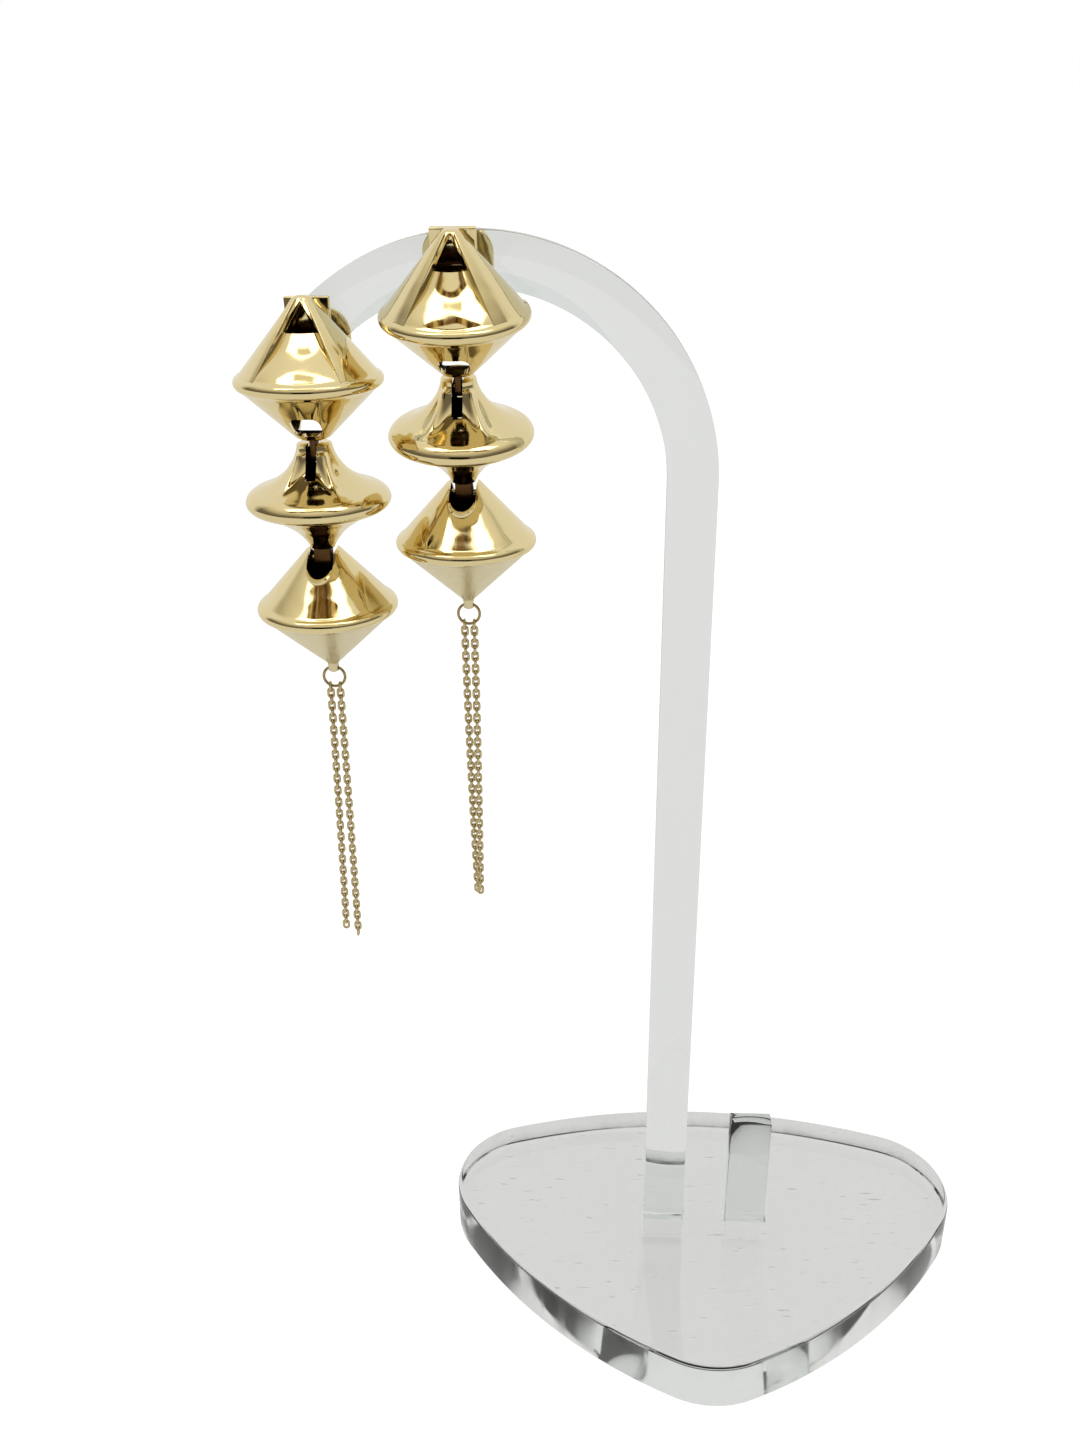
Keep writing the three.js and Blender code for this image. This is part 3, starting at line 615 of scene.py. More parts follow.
ear_radius = PIN_RADIUS + 2 * EYE_WALL
ear_inside = CLIP_KNUCKLE_WIDTH / 2 + CLEARANCE
ear_front = BACK_PLATE_Y - WALL / 2
for side in (-1, 1):
    ear_x = side * (ear_inside + CLIP_EAR_THICKNESS / 2)
    combine(top_cone, block(
        CLIP_EAR_THICKNESS, CLIP_PIN_Y - ear_front, 2 * ear_radius,
        (ear_x, (CLIP_PIN_Y + ear_front) / 2, -CLIP_PIN_DEPTH), edge=0.12,
    ), "UNION")
    combine(top_cone, rod(
        ear_radius + PROUD_RADIUS, CLIP_EAR_THICKNESS + PROUD_WIDTH,
        (ear_x, CLIP_PIN_Y, -CLIP_PIN_DEPTH), edge=0.12,
    ), "UNION")
clip_pin_length = 2 * (ear_inside + CLIP_EAR_THICKNESS) + 0.3
combine(top_cone, rod(PIN_RADIUS, clip_pin_length, (0, CLIP_PIN_Y, -CLIP_PIN_DEPTH), edge=0.1), "UNION")
smooth(top_cone)
print("top cone finished, faces:", len(top_cone.data.polygons))

# %% [markdown]
# The clip's lever swings on the pin between the ears. Its pad is a rounded plate with soft edges,
# wide enough to spread the grip behind the ear lobe, on a narrow arm that ends in a rolled eye.

# %% Clip paddle
PAD_WIDTH, PAD_TOP, PAD_BOTTOM = 9.6, 8.5, 0.5
PAD_CORNER_RADIUS, PAD_THICKNESS, PAD_EDGE = 3, 0.8, 0.22
LEVER_WIDTH, LEVER_FOOT, LEVER_LAP, ARM_LENGTH = 3, 2, 2, 3
SHEET_THICKNESS = 3
pad_front = BACK_PLATE_Y + SHEET_THICKNESS + 2 * CLEARANCE - CLIP_PIN_Y
pad_top, pad_bottom = PAD_TOP + CLIP_PIN_DEPTH, PAD_BOTTOM + CLIP_PIN_DEPTH
pad_middle_y = pad_front + PAD_THICKNESS / 2

paddle = block(
    PAD_WIDTH, PAD_THICKNESS, pad_top - pad_bottom, (0, pad_middle_y, (pad_top + pad_bottom) / 2),
)
bpy.ops.object.mode_set(mode="EDIT")
bpy.ops.mesh.select_mode(type="EDGE")
bpy.ops.mesh.select_all(action="DESELECT")
bpy.ops.object.mode_set(mode="OBJECT")
for edge in paddle.data.edges:
    a, b = [paddle.data.vertices[i].co for i in edge.vertices]
    edge.select = abs(a.y - b.y) > 0.5 * PAD_THICKNESS * MM
bpy.ops.object.mode_set(mode="EDIT")
bpy.ops.mesh.bevel(offset=PAD_CORNER_RADIUS * MM, segments=10)
bpy.ops.object.mode_set(mode="OBJECT")
apply_modifier(
    paddle, "BEVEL", width=PAD_EDGE * MM, segments=3, limit_method="ANGLE", angle_limit=math.radians(50),
)
lever_top = pad_bottom + LEVER_LAP
arm_foot = KNUCKLE_RADIUS * 0.4
combine(paddle, block(
    LEVER_WIDTH, PAD_THICKNESS, lever_top - LEVER_FOOT, (0, pad_middle_y, (lever_top + LEVER_FOOT) / 2),
    edge=0.2,
), "UNION")
combine(paddle, block(
    CLIP_KNUCKLE_WIDTH, PAD_THICKNESS, ARM_LENGTH, (0, pad_middle_y, arm_foot + ARM_LENGTH / 2), edge=0.15,
), "UNION")
combine(paddle, rod(KNUCKLE_RADIUS, CLIP_KNUCKLE_WIDTH + PROUD_WIDTH, (0, 0, 0), edge=0.12), "UNION")
combine(paddle, rod(EYE_RADIUS, 3 * CLIP_KNUCKLE_WIDTH, (0, 0, 0)), "DIFFERENCE")
paddle.data.materials.clear()
paddle.data.materials.append(polished_gold)
smooth(paddle)
print("paddle faces:", len(paddle.data.polygons))

# %% [markdown]
# The middle double cone flares from a narrow slit neck to the bead, and back to a short stem. Two
# ribs stand beside the slit and fade into the flare. They belong to the same pressed shell, so
# they are raised in its skin before it gets its wall.

# %% Middle double cone, skin and ribs
MIDDLE_NECK_HEIGHT, MIDDLE_STEM_DEPTH, STEM_RADIUS = 8.05, 7.0, 1.7
NECK_SLIT_HEIGHT = 4.3
SLIT_WIDTH = TONGUE_THICKNESS + 2 * CLEARANCE
NECK_CHAMFER, NECK_CAP_DROP, NECK_EDGE_DROP = 0.25, 0.03, 0.15
MIDDLE_KNUCKLE_WIDTH = 2.4
RIB_AZIMUTH, RIB_WIDTH, RIB_HEIGHT, RIB_LOWEST = 31, 1.3, 0.85, 0.5
RIB_FADE_RADII, RIB_FADE_HEIGHTS = (4.0, 8.4), (6.5, 7.2)
upper_flare = [(0.02, 0.88), (0.1, 0.7), (0.26, 0.5), (0.5, 0.335), (0.74, 0.235)]
lens_edge = [
    (9.0, 1.55), (9.65, 1.1), (10.05, 0.55), (RIM_RADIUS, 0), (10.05, -0.55), (9.6, -1.05), (8.9, -1.4),
]
lower_flare = [(0.7, 0.25), (0.47, 0.42), (0.24, 0.62), (0.09, 0.82)]


def flare(shares, neck_radius, neck_height):
    """Rows from their shares of the way out to the rim and of the way up to the neck."""
    return [(neck_radius + out * (RIM_RADIUS - neck_radius), up * neck_height) for out, up in shares]


middle_rows = [(NECK_RADIUS - NECK_CHAMFER, MIDDLE_NECK_HEIGHT - NECK_CAP_DROP)] + curve_rows([
    (NECK_RADIUS, MIDDLE_NECK_HEIGHT - NECK_EDGE_DROP),
    *flare(upper_flare, NECK_RADIUS, MIDDLE_NECK_HEIGHT), *lens_edge,
    *flare(lower_flare, STEM_RADIUS, -MIDDLE_STEM_DEPTH), (STEM_RADIUS, -MIDDLE_STEM_DEPTH),
], 5)


def rib_height(azimuth, radius, height):
    """Two ribs of a rounded section, which fade down the flare and under the neck's top."""
    if height < RIB_LOWEST:
        return 0
    aside = math.radians(abs(azimuth) - RIB_AZIMUTH) * radius / (RIB_WIDTH / 2)
    fade = (1 - eased(radius, *RIB_FADE_RADII)) * (1 - eased(height, *RIB_FADE_HEIGHTS))
    return RIB_HEIGHT * math.exp(-aside * aside) * fade


middle_cone = turned(middle_rows)
push_skin(middle_cone, rib_height)
middle_cavity = turned(cavity_rows(middle_rows, -MIDDLE_STEM_DEPTH / 2, MIDDLE_NECK_HEIGHT - WALL))
push_skin(middle_cavity, rib_height)
hollow(middle_cone, middle_cavity)
upper_pin_height = MIDDLE_NECK_HEIGHT - UPPER_PIN_DEPTH
lower_pin_under_middle = -MIDDLE_STEM_DEPTH - KNUCKLE_RADIUS - 2 * CLEARANCE
combine(middle_cone, block(
    SLIT_WIDTH, 2 * RIM_RADIUS, 2 * NECK_SLIT_HEIGHT, (0, 0, MIDDLE_NECK_HEIGHT), edge=0.1,
), "DIFFERENCE")
combine(middle_cone, rod(PIN_RADIUS, 2 * NECK_RADIUS + 0.25, (0, 0, upper_pin_height), edge=0.1), "UNION")
combine(
    middle_cone,
    eye_strip(MIDDLE_KNUCKLE_WIDTH, -MIDDLE_STEM_DEPTH + WALL, lower_pin_under_middle), "UNION",
)
smooth(middle_cone)
print("middle cone faces:", len(middle_cone.data.polygons))

# %% [markdown]
# The bottom double cone is open at its neck. A round notch leaves two ears, which carry the lower
# pin, and a raised lip follows the notch's lower edge. Below the rim the cone is plain and satin,
# down to a blunt tip drilled for the ring.

# %% Bottom double cone
BOTTOM_NECK_HEIGHT, BOTTOM_TIP_DEPTH, BOTTOM_CAVITY_DEPTH, TIP_RADIUS = 8.6, 10.6, 6.4, 0.85
LOWER_PIN_DEPTH, NOTCH_RADIUS, NOTCH_HEIGHT = 1.4, 1.9, 6
LIP_RADIUS, LIP_HALF_ANGLE, LIP_STEPS = 0.42, 70, 24
RING_RADIUS, RING_WIRE_RADIUS, RING_HOLE_HEIGHT = 1.6, 0.22, 0.75
lower_pin_height = BOTTOM_NECK_HEIGHT - LOWER_PIN_DEPTH

bottom_top = (NECK_RADIUS, BOTTOM_NECK_HEIGHT)
bottom_tip = (TIP_RADIUS, -BOTTOM_TIP_DEPTH + 2 * RING_HOLE_HEIGHT)
bottom_rows = (
    [(NECK_RADIUS - 0.12, BOTTOM_NECK_HEIGHT + 0.04), bottom_top]
    + between(bottom_top, bead_top, 18)
    + bead
    + between(bead_bottom, bottom_tip, 18)
    + [
        bottom_tip, (TIP_RADIUS, -BOTTOM_TIP_DEPTH + 0.5),
        (0.75, -BOTTOM_TIP_DEPTH + 0.2), (0.45, -BOTTOM_TIP_DEPTH),
    ]
)
bottom_cone = turned(bottom_rows)
neck_bore = [(NECK_RADIUS - WALL, BOTTOM_NECK_HEIGHT + 1), (NECK_RADIUS - WALL, BOTTOM_NECK_HEIGHT - 0.3)]
bottom_cavity = neck_bore + cavity_rows(bottom_rows, -BOTTOM_CAVITY_DEPTH, BOTTOM_NECK_HEIGHT - 0.4)
hollow(bottom_cone, turned(bottom_cavity))
notch = rod(NOTCH_RADIUS, 2 * RIM_RADIUS, (0, 0, lower_pin_height), along="Y", sides=64)
combine(notch, block(
    2 * NOTCH_RADIUS - 0.05, 2.1 * RIM_RADIUS, NOTCH_HEIGHT, (0, 0, lower_pin_height + NOTCH_HEIGHT / 2),
), "UNION")
combine(bottom_cone, notch, "DIFFERENCE")
combine(bottom_cone, rod(PIN_RADIUS, 2 * NECK_RADIUS + 1.4, (0, 0, lower_pin_height), edge=0.1), "UNION")


def bottom_radius(height):
    """The radius of the bottom cone's upper side at a height."""
    share = (BOTTOM_NECK_HEIGHT - height) / (BOTTOM_NECK_HEIGHT - bead_top[1])
    return NECK_RADIUS + share * (bead_top[0] - NECK_RADIUS)


lip_points, lip_radii = [], []
for step in range(LIP_STEPS + 1):
    turn = math.radians(LIP_HALF_ANGLE * (step / (LIP_STEPS / 2) - 1))
    lip_x = NOTCH_RADIUS * math.sin(turn)
    lip_z = lower_pin_height - NOTCH_RADIUS * math.cos(turn)
    lip_points.append((lip_x, -math.sqrt(bottom_radius(lip_z) ** 2 - lip_x ** 2), lip_z))
    lip_radii.append(LIP_RADIUS * (0.45 + 0.75 * math.sin(math.pi * step / LIP_STEPS)))
combine(bottom_cone, wire(lip_points, lip_radii), "UNION")
hole_height = -BOTTOM_TIP_DEPTH + RING_HOLE_HEIGHT
combine(bottom_cone, rod(
    RING_WIRE_RADIUS + CLEARANCE, 4 * TIP_RADIUS, (0, 0, hole_height), along="X",
), "DIFFERENCE")
bottom_cone.data.materials.append(satin_gold)
for face in bottom_cone.data.polygons:
    if face.center.z < bead_bottom[1] * MM and face.material_index == 0:
        face.material_index = 2
smooth(bottom_cone)
print("bottom cone faces:", len(bottom_cone.data.polygons))

# %% [markdown]
# The jump ring is a bent wire whose two ends almost meet. A circle the size of the wire is spun
# round the ring's centre by nearly a full turn, which leaves the fine seam of the real one.

# %% Jump ring
SEAM_DEGREES = 3
bpy.ops.mesh.primitive_circle_add(
    vertices=16, radius=RING_WIRE_RADIUS * MM, fill_type="NGON",
    location=(RING_RADIUS * MM, 0, -RING_RADIUS * MM),
)
ring = settle(bpy.context.object)
bpy.ops.object.mode_set(mode="EDIT")
bpy.ops.mesh.select_all(action="SELECT")
bpy.ops.mesh.spin(
    steps=80, angle=math.radians(360 - SEAM_DEGREES), center=(0, 0, -RING_RADIUS * MM), axis=(0, 1, 0),
)
bpy.ops.mesh.select_all(action="SELECT")
bpy.ops.mesh.remove_doubles(threshold=0.001 * MM)
bpy.ops.mesh.normals_make_consistent(inside=False)
bpy.ops.object.mode_set(mode="OBJECT")
ring.data.materials.append(wire_gold)
smooth(ring, 40)
print("ring faces:", len(ring.data.polygons))

# %% [markdown]
# Each tassel strand is a cable chain of oval links, every second one turned a quarter. One link is
# a ring whose two halves are drawn apart. It has few faces, because it is repeated some forty times
# on each of the four strands. Neighbouring links sink into each other by a hair, as pulled tight.

# %% Chain link
LINK_WIRE, LINK_WIDTH, LINK_PITCH = 0.4, 1.25, 1.045
LINK_SINK, LINK_BEND = 0.015, 0.2
link_length = LINK_PITCH + 2 * LINK_WIRE - LINK_SINK
bpy.ops.mesh.primitive_torus_add(
    major_segments=20, minor_segments=8,
    major_radius=(LINK_WIDTH - LINK_WIRE) / 2 * MM, minor_radius=LINK_WIRE / 2 * MM,
    rotation=(math.pi / 2, 0, 0),
)
link = settle(bpy.context.object)
stretch = (link_length - LINK_WIDTH) / 2 * MM
for vertex in link.data.vertices:
    vertex.co.z += math.copysign(stretch * min(abs(vertex.co.z) / (LINK_BEND * MM), 1), vertex.co.z)
link.data.materials.append(chain_gold)
smooth(link, 60)
print("link length", round(link_length, 3), "mm, faces", len(link.data.polygons))

# %% [markdown]
# The pieces are now copied to both earrings. Each copy hangs from the pin that the CAD model's
# joint turns on, leaning as the photograph shows, and its place goes into its own mesh.

# %% Place the cones and clips
LEANS = {"left": {"top": 0, "middle": 0, "paddle": 0}, "right": {"top": 10, "middle": 8, "paddle": 2}}
pins = {joint["name"]: Vector(joint["pos_m"]) for joint in frame["joints"]}


def hang(model, name, body, pin, pin_place, lean):
    """A copy of the model, turned by its lean and hung with pin_place on the pin."""
    piece = model.copy()
    piece.data = model.data.copy()
    piece.name = name
    bpy.context.scene.collection.objects.link(piece)
    turn = Matrix.Rotation(math.radians(lean), 4, "X")
    piece.data.transform(Matrix.Translation(pin) @ turn @ Matrix.Translation(-Vector(pin_place) * MM))
    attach(piece, body)
    return piece


for side, leans in LEANS.items():
    upper_pin, lower_pin = pins[f"{side}_middle_swing"], pins[f"{side}_bottom_swing"]
    top = hang(
        top_cone, f"{side}_top_cone", "stand",
        upper_pin, (0, 0, upper_pin_under_top), leans["top"],
    )
    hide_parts(f"{side}_top_bicone")
    clip = hang(
        paddle, f"{side}_clip_lever", f"{side}_clip",
        pins[f"{side}_clip_lever"], (0, 0, 0), leans["paddle"],
    )
    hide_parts(f"{side}_clip_paddle")
    middle = hang(
        middle_cone, f"{side}_middle_cone", f"{side}_middle",
        upper_pin, (0, 0, upper_pin_height), leans["middle"],
    )
    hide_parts(f"{side}_middle_bicone")
    bottom = hang(
        bottom_cone, f"{side}_bottom_cone", f"{side}_bottom",
        lower_pin, (0, 0, lower_pin_height), 0,
    )
    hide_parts(f"{side}_bottom_bicone")
    ring_place = lower_pin + Vector((0, 0, hole_height - lower_pin_height)) * MM
    jump_ring = hang(ring, f"{side}_jump_ring", f"{side}_bottom", ring_place, (0, 0, 0), 0)
    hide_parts(f"{side}_tassel_ring")
for model in (top_cone, paddle, middle_cone, bottom_cone, ring):
    bpy.data.objects.remove(model)
print("cones, clips and rings placed")

# %% [markdown]
# A strand hangs from the ring along its few chosen points, the same as in the CAD model. Links are
# set along that curve one pitch apart, upright to it, and joined into one piece.

# %% Chain strands
STRAND_LENGTHS = {"left": (43.8, 45.1), "right": (47.9, 47.4)}
STRAND_ROUTES = {
    "left": [
        [(0, -0.72, 0), (0.5, -1.1, 0), (1, -1.6, 0)],
        [(0, 0.72, 0), (0.5, 0.55, 0), (1, 0.3, 0)],
    ],
    "right": [
        [(0, -0.72, 0), (0.5, -0.65, 0.25), (1, -0.3, 0.65)],
        [(0, 0.72, 0), (0.5, 0.6, -0.25), (1, 0.3, -0.65)],
    ],
}


def route_point(route, share):
    """The strand's sideways and backward place at a share of its length, on a smooth curve."""
    (_, x0, y0), (_, x1, y1), (_, x2, y2) = route
    before, among, after = (1 - share) * (1 - 2 * share), 4 * share * (1 - share), share * (2 * share - 1)
    return Vector((before * x0 + among * x1 + after * x2, before * y0 + among * y1 + after * y2, 0))


ring_top_under_pin = Vector((0, 0, hole_height - lower_pin_height))
for side in LEANS:
    hook_point = pins[f"{side}_bottom_swing"] + ring_top_under_pin * MM
    for letter, route, length in zip("ab", STRAND_ROUTES[side], STRAND_LENGTHS[side]):
        sideways_start = route[0][1]
        wire_drop = RING_RADIUS + math.sqrt(RING_RADIUS ** 2 - sideways_start ** 2)
        first = -wire_drop + RING_WIRE_RADIUS + LINK_WIRE - link_length / 2
        last = -2 * RING_RADIUS - RING_WIRE_RADIUS - length + link_length / 2
        count = 1 + round((first - last) / LINK_PITCH)
        links = []
        for i in range(count):
            share = i / (count - 1)
            centre = route_point(route, share) + Vector((0, 0, first + (last - first) * share))
            ahead = route_point(route, share + 0.01) + Vector((0, 0, (last - first) * 0.01))
            along = (ahead - route_point(route, share)).normalized()
            lay = Vector((0, 0, -1)).rotation_difference(along).to_matrix().to_4x4()
            quarter = Matrix.Rotation(math.radians(90 if i % 2 == 0 else 0), 4, "Z")
            copy = link.copy()
            copy.data = link.data.copy()
            copy.data.transform(Matrix.Translation(hook_point + centre * MM) @ lay @ quarter)
            bpy.context.scene.collection.objects.link(copy)
            links.append(copy)
        select_only(*links)
        bpy.ops.object.join()
        strand = bpy.context.object
        strand.name = f"{side}_chain_strand_{letter}"
        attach(strand, f"{side}_bottom")
        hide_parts(f"{side}_chain_{letter}")
        print(strand.name, "links:", count, "triangles:", 2 * len(strand.data.polygons))
bpy.data.objects.remove(link)

# %% [markdown]
# The stand's base is a thick plate sawn to a rounded triangle. Its outline is three corner arcs
# joined by wide arcs, and a circle's points are laid along it, extruded to the plate's thickness
# and eased along both faces.

# %% Stand base
BASE_WIDTH, BASE_DEPTH, BASE_THICKNESS, BASE_EDGE = 94.4, 61, 9.9, 0.8
BACK_CORNER_RADIUS, FRONT_CORNER_RADIUS = 14.6, 16.6
BACK_BULGE_RADIUS, SIDE_BULGE_RADIUS = 119, 90
HOOK_WIDTH, SLOT_SPACING, SLOT_Y, SLOT_FLOOR = 7.3, 15.2, 2.8, 1.5
CORNER_STEP, BULGE_STEP = 0.8, 1.6

corner_x = BASE_WIDTH / 2 - BACK_CORNER_RADIUS
back_y = BASE_DEPTH / 2 - BACK_BULGE_RADIUS + math.sqrt(
    (BACK_BULGE_RADIUS - BACK_CORNER_RADIUS) ** 2 - corner_x ** 2
)
corners = [
    (Vector((0, -BASE_DEPTH / 2 + FRONT_CORNER_RADIUS)), FRONT_CORNER_RADIUS, SIDE_BULGE_RADIUS),
    (Vector((corner_x, back_y)), BACK_CORNER_RADIUS, BACK_BULGE_RADIUS),
    (Vector((-corner_x, back_y)), BACK_CORNER_RADIUS, SIDE_BULGE_RADIUS),
]


def bulge_centre(start, start_radius, end, end_radius, bulge):
    """The centre of the wide arc that both corner arcs lie against inside."""
    span = end - start
    start_reach, end_reach = bulge - start_radius, bulge - end_radius
    along = (start_reach ** 2 - end_reach ** 2 + span.length_squared) / (2 * span.length)
    aside = math.sqrt(start_reach ** 2 - along ** 2)
    unit = span.normalized()
    return start + unit * along + Vector((-unit.y, unit.x)) * aside


def arc(centre, radius, start_point, end_point, step):
    """Points on an arc, counterclockwise between the directions of two points, without the last."""
    start = math.atan2(*(start_point - centre).yx)
    turn = (math.atan2(*(end_point - centre).yx) - start) % (2 * math.pi)
    count = max(round(turn * radius / step), 2)
    return [
        centre + radius * Vector((math.cos(start + turn * i / count), math.sin(start + turn * i / count)))
        for i in range(count)
    ]


bulges = []
for i, (centre, radius, bulge) in enumerate(corners):
    next_centre, next_radius, _ = corners[(i + 1) % 3]
    bulges.append(bulge_centre(centre, radius, next_centre, next_radius, bulge))
outline = []
for i, (centre, radius, bulge) in enumerate(corners):
    before, after = bulges[i - 1], bulges[i]
    next_centre = corners[(i + 1) % 3][0]
    start = centre + (centre - before)
    end = centre + (centre - after)
    outline += arc(centre, radius, start, end, CORNER_STEP)
    outline += arc(after, bulge, centre, next_centre, BULGE_STEP)

bpy.ops.mesh.primitive_circle_add(vertices=len(outline), radius=MM, fill_type="NGON")
base = bpy.context.object
for vertex, point in zip(base.data.vertices, outline):
    vertex.co = (point.x * MM, point.y * MM, 0)
bpy.ops.object.mode_set(mode="EDIT")
bpy.ops.mesh.select_all(action="SELECT")
bpy.ops.mesh.extrude_region_move(TRANSFORM_OT_translate={"value": (0, 0, BASE_THICKNESS * MM)})
bpy.ops.mesh.select_all(action="SELECT")
bpy.ops.mesh.normals_make_consistent(inside=False)
bpy.ops.object.mode_set(mode="OBJECT")
apply_modifier(
    base, "BEVEL", width=BASE_EDGE * MM, segments=5, limit_method="ANGLE", angle_limit=math.radians(60),
)
for side in (-1, 1):
    combine(base, block(
        HOOK_WIDTH + 2 * CLEARANCE, SHEET_THICKNESS + 2 * CLEARANCE, 2 * BASE_THICKNESS,
        (side * SLOT_SPACING / 2, SLOT_Y, BASE_THICKNESS + SLOT_FLOOR),
    ), "DIFFERENCE")
base.name = "acrylic_base"
base.data.materials.append(block_acrylic)
base.data.materials.append(sawn_acrylic)
for face in base.data.polygons:
    near_slots_sideways = abs(face.center.x) < (SLOT_SPACING + HOOK_WIDTH) * MM
    near_slots = near_slots_sideways and abs(face.center.y - SLOT_Y * MM) < SHEET_THICKNESS * MM
    if abs(face.normal.z) < 0.3 and not near_slots:
        face.material_index = 1
print("base outline points:", len(outline))

# %% [markdown]
# The hook is a strip sawn from sheet and bent over a former while warm. A block stands for its
# straight stem, and its top face is spun over by 139 degrees to make the bend.

# %% Stand hook and tab
HOOK_ARC_RADIUS, HOOK_ARC_HEIGHT, HOOK_END_ANGLE = 30.5, 151, 139
TAB_HEIGHT = 23.5
STRIP_EDGE = 0.18
stem_x = -SLOT_SPACING / 2
strip_foot = SLOT_FLOOR + CLEARANCE

hook = block(
    HOOK_WIDTH, SHEET_THICKNESS, HOOK_ARC_HEIGHT - strip_foot,
    (stem_x, SLOT_Y, (HOOK_ARC_HEIGHT + strip_foot) / 2),
)
select_only(hook)
bpy.ops.object.mode_set(mode="EDIT")
bpy.ops.mesh.select_mode(type="FACE")
bpy.ops.mesh.select_all(action="DESELECT")
bpy.ops.object.mode_set(mode="OBJECT")
for face in hook.data.polygons:
    face.select = face.normal.z > 0.9
bpy.ops.object.mode_set(mode="EDIT")
bpy.ops.mesh.spin(
    steps=72, angle=math.radians(HOOK_END_ANGLE),
    center=((stem_x - HOOK_ARC_RADIUS) * MM, 0, HOOK_ARC_HEIGHT * MM), axis=(0, 1, 0),
)
bpy.ops.mesh.select_all(action="SELECT")
bpy.ops.mesh.remove_doubles(threshold=0.001 * MM)
bpy.ops.mesh.normals_make_consistent(inside=False)
bpy.ops.object.mode_set(mode="OBJECT")
hook.name = "acrylic_hook"

tab = block(
    HOOK_WIDTH, SHEET_THICKNESS, BASE_THICKNESS + TAB_HEIGHT - strip_foot,
    (-stem_x, SLOT_Y, (BASE_THICKNESS + TAB_HEIGHT + strip_foot) / 2),
)
tab.name = "acrylic_tab"
for strip in (hook, tab):
    apply_modifier(
        strip, "BEVEL", width=STRIP_EDGE * MM, segments=2, limit_method="ANGLE",
        angle_limit=math.radians(50),
    )
    strip.data.materials.append(strip_acrylic)
for piece, node in ((base, "stand_base"), (hook, "stand_hook"), (tab, "stand_tab")):
    smooth(piece)
    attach(piece, "stand")
    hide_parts(node)
print("stand made")

# %% [markdown]
# The floor is a sheet of matt white paper lit from below, as under a product on a light table, so
# it stays white up to the object. The Light Path node gives that glow to the camera alone: what the
# acrylic bends and the gold reflects is the paper without it, so the clear stand shows against it.

# %% Floor
PAPER_GLOW, CAMERA_GLOW, FIBRE_SIZE = 0.6, 0.34, 2
floor_material, floor_tree, floor_shader, floor_place = start_material(
    "backlit_matt_white_paper", Roughness=0.9,
    Emission_Color=linear("#ffffff"), Emission_Strength=PAPER_GLOW,
)
fibre = add(
    floor_tree, "ShaderNodeTexNoise", {"Scale": 1 / (FIBRE_SIZE * MM), "Detail": 3.0},
    {"Vector": floor_place},
)
paper = add(
    floor_tree, "ShaderNodeValToRGB", links={"Fac": fibre.outputs["Fac"]},
    stops=[(0.3, "#7c7c7b"), (0.7, "#828281")],
)
floor_tree.links.new(paper.outputs["Color"], floor_shader.inputs["Base Color"])
paper_light = floor_shader.outputs["BSDF"]
backlight = add(floor_tree, "ShaderNodeEmission", {"Strength": CAMERA_GLOW})
lit_paper = add(
    floor_tree, "ShaderNodeAddShader", links={0: paper_light, 1: backlight.outputs["Emission"]},
)
camera_ray = add(floor_tree, "ShaderNodeLightPath").outputs["Is Camera Ray"]
seen_paper = add(
    floor_tree, "ShaderNodeMixShader",
    links={0: camera_ray, 1: paper_light, 2: lit_paper.outputs["Shader"]},
)
floor_tree.links.new(seen_paper.outputs["Shader"], floor_tree.nodes["Material Output"].inputs["Surface"])
bpy.ops.mesh.primitive_circle_add(vertices=96, radius=6, fill_type="NGON", location=(0, 0, -0.0001))
floor = bpy.context.object
floor.name = "floor"
floor.data.materials.append(floor_material)
print("floor made")

# %% [markdown]
# Polished gold shows whatever stands round it, so the room matters more than any lamp. It is grey
# at the sides, paler above and white behind the stand, with a dark place behind the camera. One
# large ceiling softbox has a grey panel in its middle, which the cones' front panels reflect, and a
# brown curtain hangs in folds in front of it, which streaks the lowest cones. Light that comes
# through the acrylic is mostly pale grey, and the camera itself sees white.

# %% Room and light
world = bpy.data.worlds.new("studio_room")
bpy.context.scene.world = world
world.use_nodes = True
room = world.node_tree
direction = add(room, "ShaderNodeTexCoord").outputs["Generated"]
parts = add(room, "ShaderNodeSeparateXYZ", links={"Vector": direction})


height_share = add(
    room, "ShaderNodeMapRange", {"From Min": -1.0, "From Max": 1.0}, {"Value": parts.outputs["Z"]},
)
walls = add(
    room, "ShaderNodeValToRGB", links={"Fac": height_share.outputs["Result"]},
    stops=[(0.5, "#6d6860"), (0.66, "#77716a"), (0.8, "#d2cec2"), (0.9, "#f4f2ea"), (0.97, "#fbfaf5")],
)
folds = add(room, "ShaderNodeMapping", {"Scale": (7, 0, 0)}, {"Vector": direction})
fold_noise = add(
    room, "ShaderNodeTexNoise", {"Scale": 1.0, "Detail": 1.0}, {"Vector": folds.outputs["Vector"]},
)
cloth = add(
    room, "ShaderNodeValToRGB", links={"Fac": fold_noise.outputs["Fac"]},
    stops=[(0.38, "#20140a"), (0.5, "#7a5a2c"), (0.62, "#d0b87c")],
)

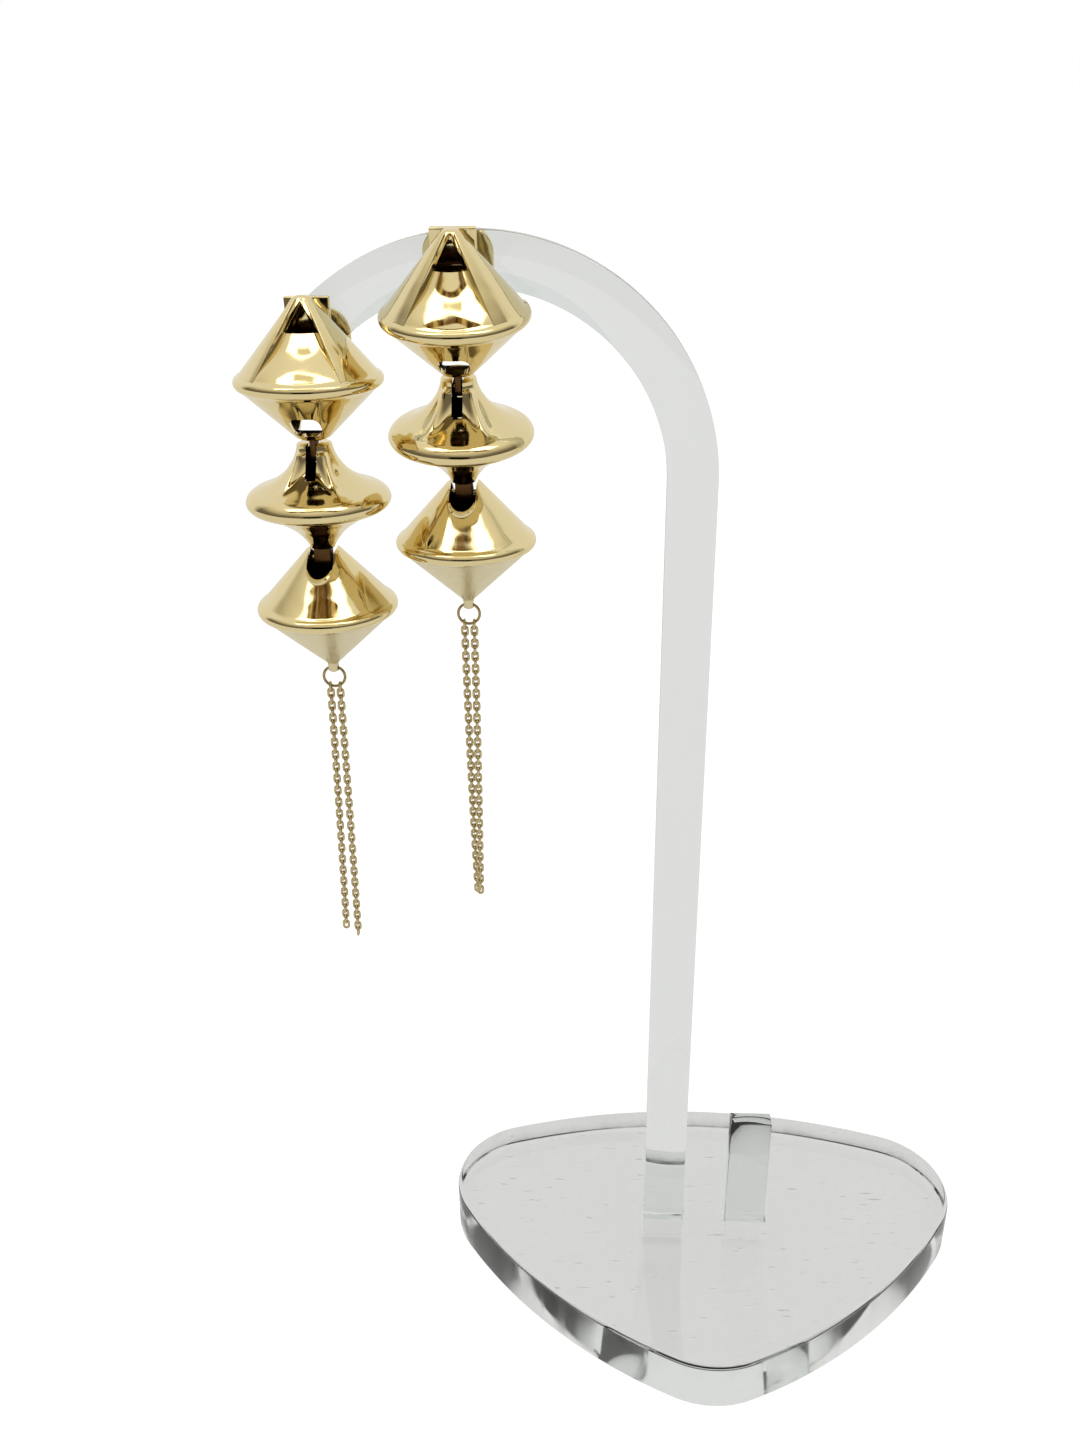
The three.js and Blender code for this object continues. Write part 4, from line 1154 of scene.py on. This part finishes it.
# Each patch of the room has its limits along the axes as (low, high, softness), its strength and its
# colour. The later ones lie over the earlier.
OVERHEAD = (0.3, 1.1, 0.1)
dark_place = ({"X": (-0.2, 0.2, 0.12), "Y": (-1.1, -0.2, 0.2), "Z": (-0.5, 0.3, 0.15)}, 1.0, "#120e0a")
behind_stand = ({"Y": (0.4, 1.1, 0.3)}, 0.9, "#ffffff")
curtain = ({"X": (-0.5, 0.5, 0.1), "Y": (-0.5, -0.36, 0.02), "Z": OVERHEAD}, 1.0, None)
softbox = ({"X": (-0.5, 0.5, 0.05), "Y": (-0.35, -0.05, 0.02), "Z": OVERHEAD}, 3.2, "#fffdf6")
softbox_panel = ({"X": (-0.2, 0.14, 0.03), "Y": (-0.27, -0.1, 0.02), "Z": OVERHEAD}, 1.15, "#e6e0c8")

layers = []
for limits, strength, colour in (dark_place, behind_stand, curtain, softbox, softbox_panel):
    steps = []
    for axis, (low, high, soft) in limits.items():
        for start, end in ((low - soft, low), (high + soft, high)):
            step = add(
                room, "ShaderNodeMapRange", {"From Min": start, "From Max": end},
                {"Value": parts.outputs[axis]}, interpolation_type="SMOOTHSTEP",
            )
            steps.append(step.outputs["Result"])
    share = steps[0]
    for step in steps[1:]:
        product = add(room, "ShaderNodeMath", links={0: share, 1: step}, operation="MULTIPLY")
        share = product.outputs["Value"]
    if colour:
        light = add(room, "ShaderNodeBackground", {"Color": linear(colour), "Strength": strength})
    else:
        light = add(room, "ShaderNodeBackground", {"Strength": strength}, {"Color": cloth.outputs["Color"]})
    layers.append((share, light.outputs["Background"]))

rays = add(room, "ShaderNodeLightPath")
softened = add(
    room, "ShaderNodeMapRange", {"To Max": 0.75}, {"Value": rays.outputs["Is Transmission Ray"]},
)
through_acrylic = add(room, "ShaderNodeBackground", {"Color": linear("#dfe2e0"), "Strength": 1.0})
layers.append((softened.outputs["Result"], through_acrylic.outputs["Background"]))
backdrop = add(room, "ShaderNodeBackground", {"Color": linear("#ffffff"), "Strength": 1.0})
layers.append((rays.outputs["Is Camera Ray"], backdrop.outputs["Background"]))

bare_room = add(room, "ShaderNodeBackground", {"Strength": 1.0}, {"Color": walls.outputs["Color"]})
lit_room = bare_room.outputs["Background"]
for share, light in layers:
    mix = add(room, "ShaderNodeMixShader", links={0: share, 1: lit_room, 2: light})
    lit_room = mix.outputs["Shader"]
room.links.new(lit_room, room.nodes["World Output"].inputs["Surface"])
bpy.context.scene.view_settings.view_transform = "Standard"
print("room made, layers:", len(layers))
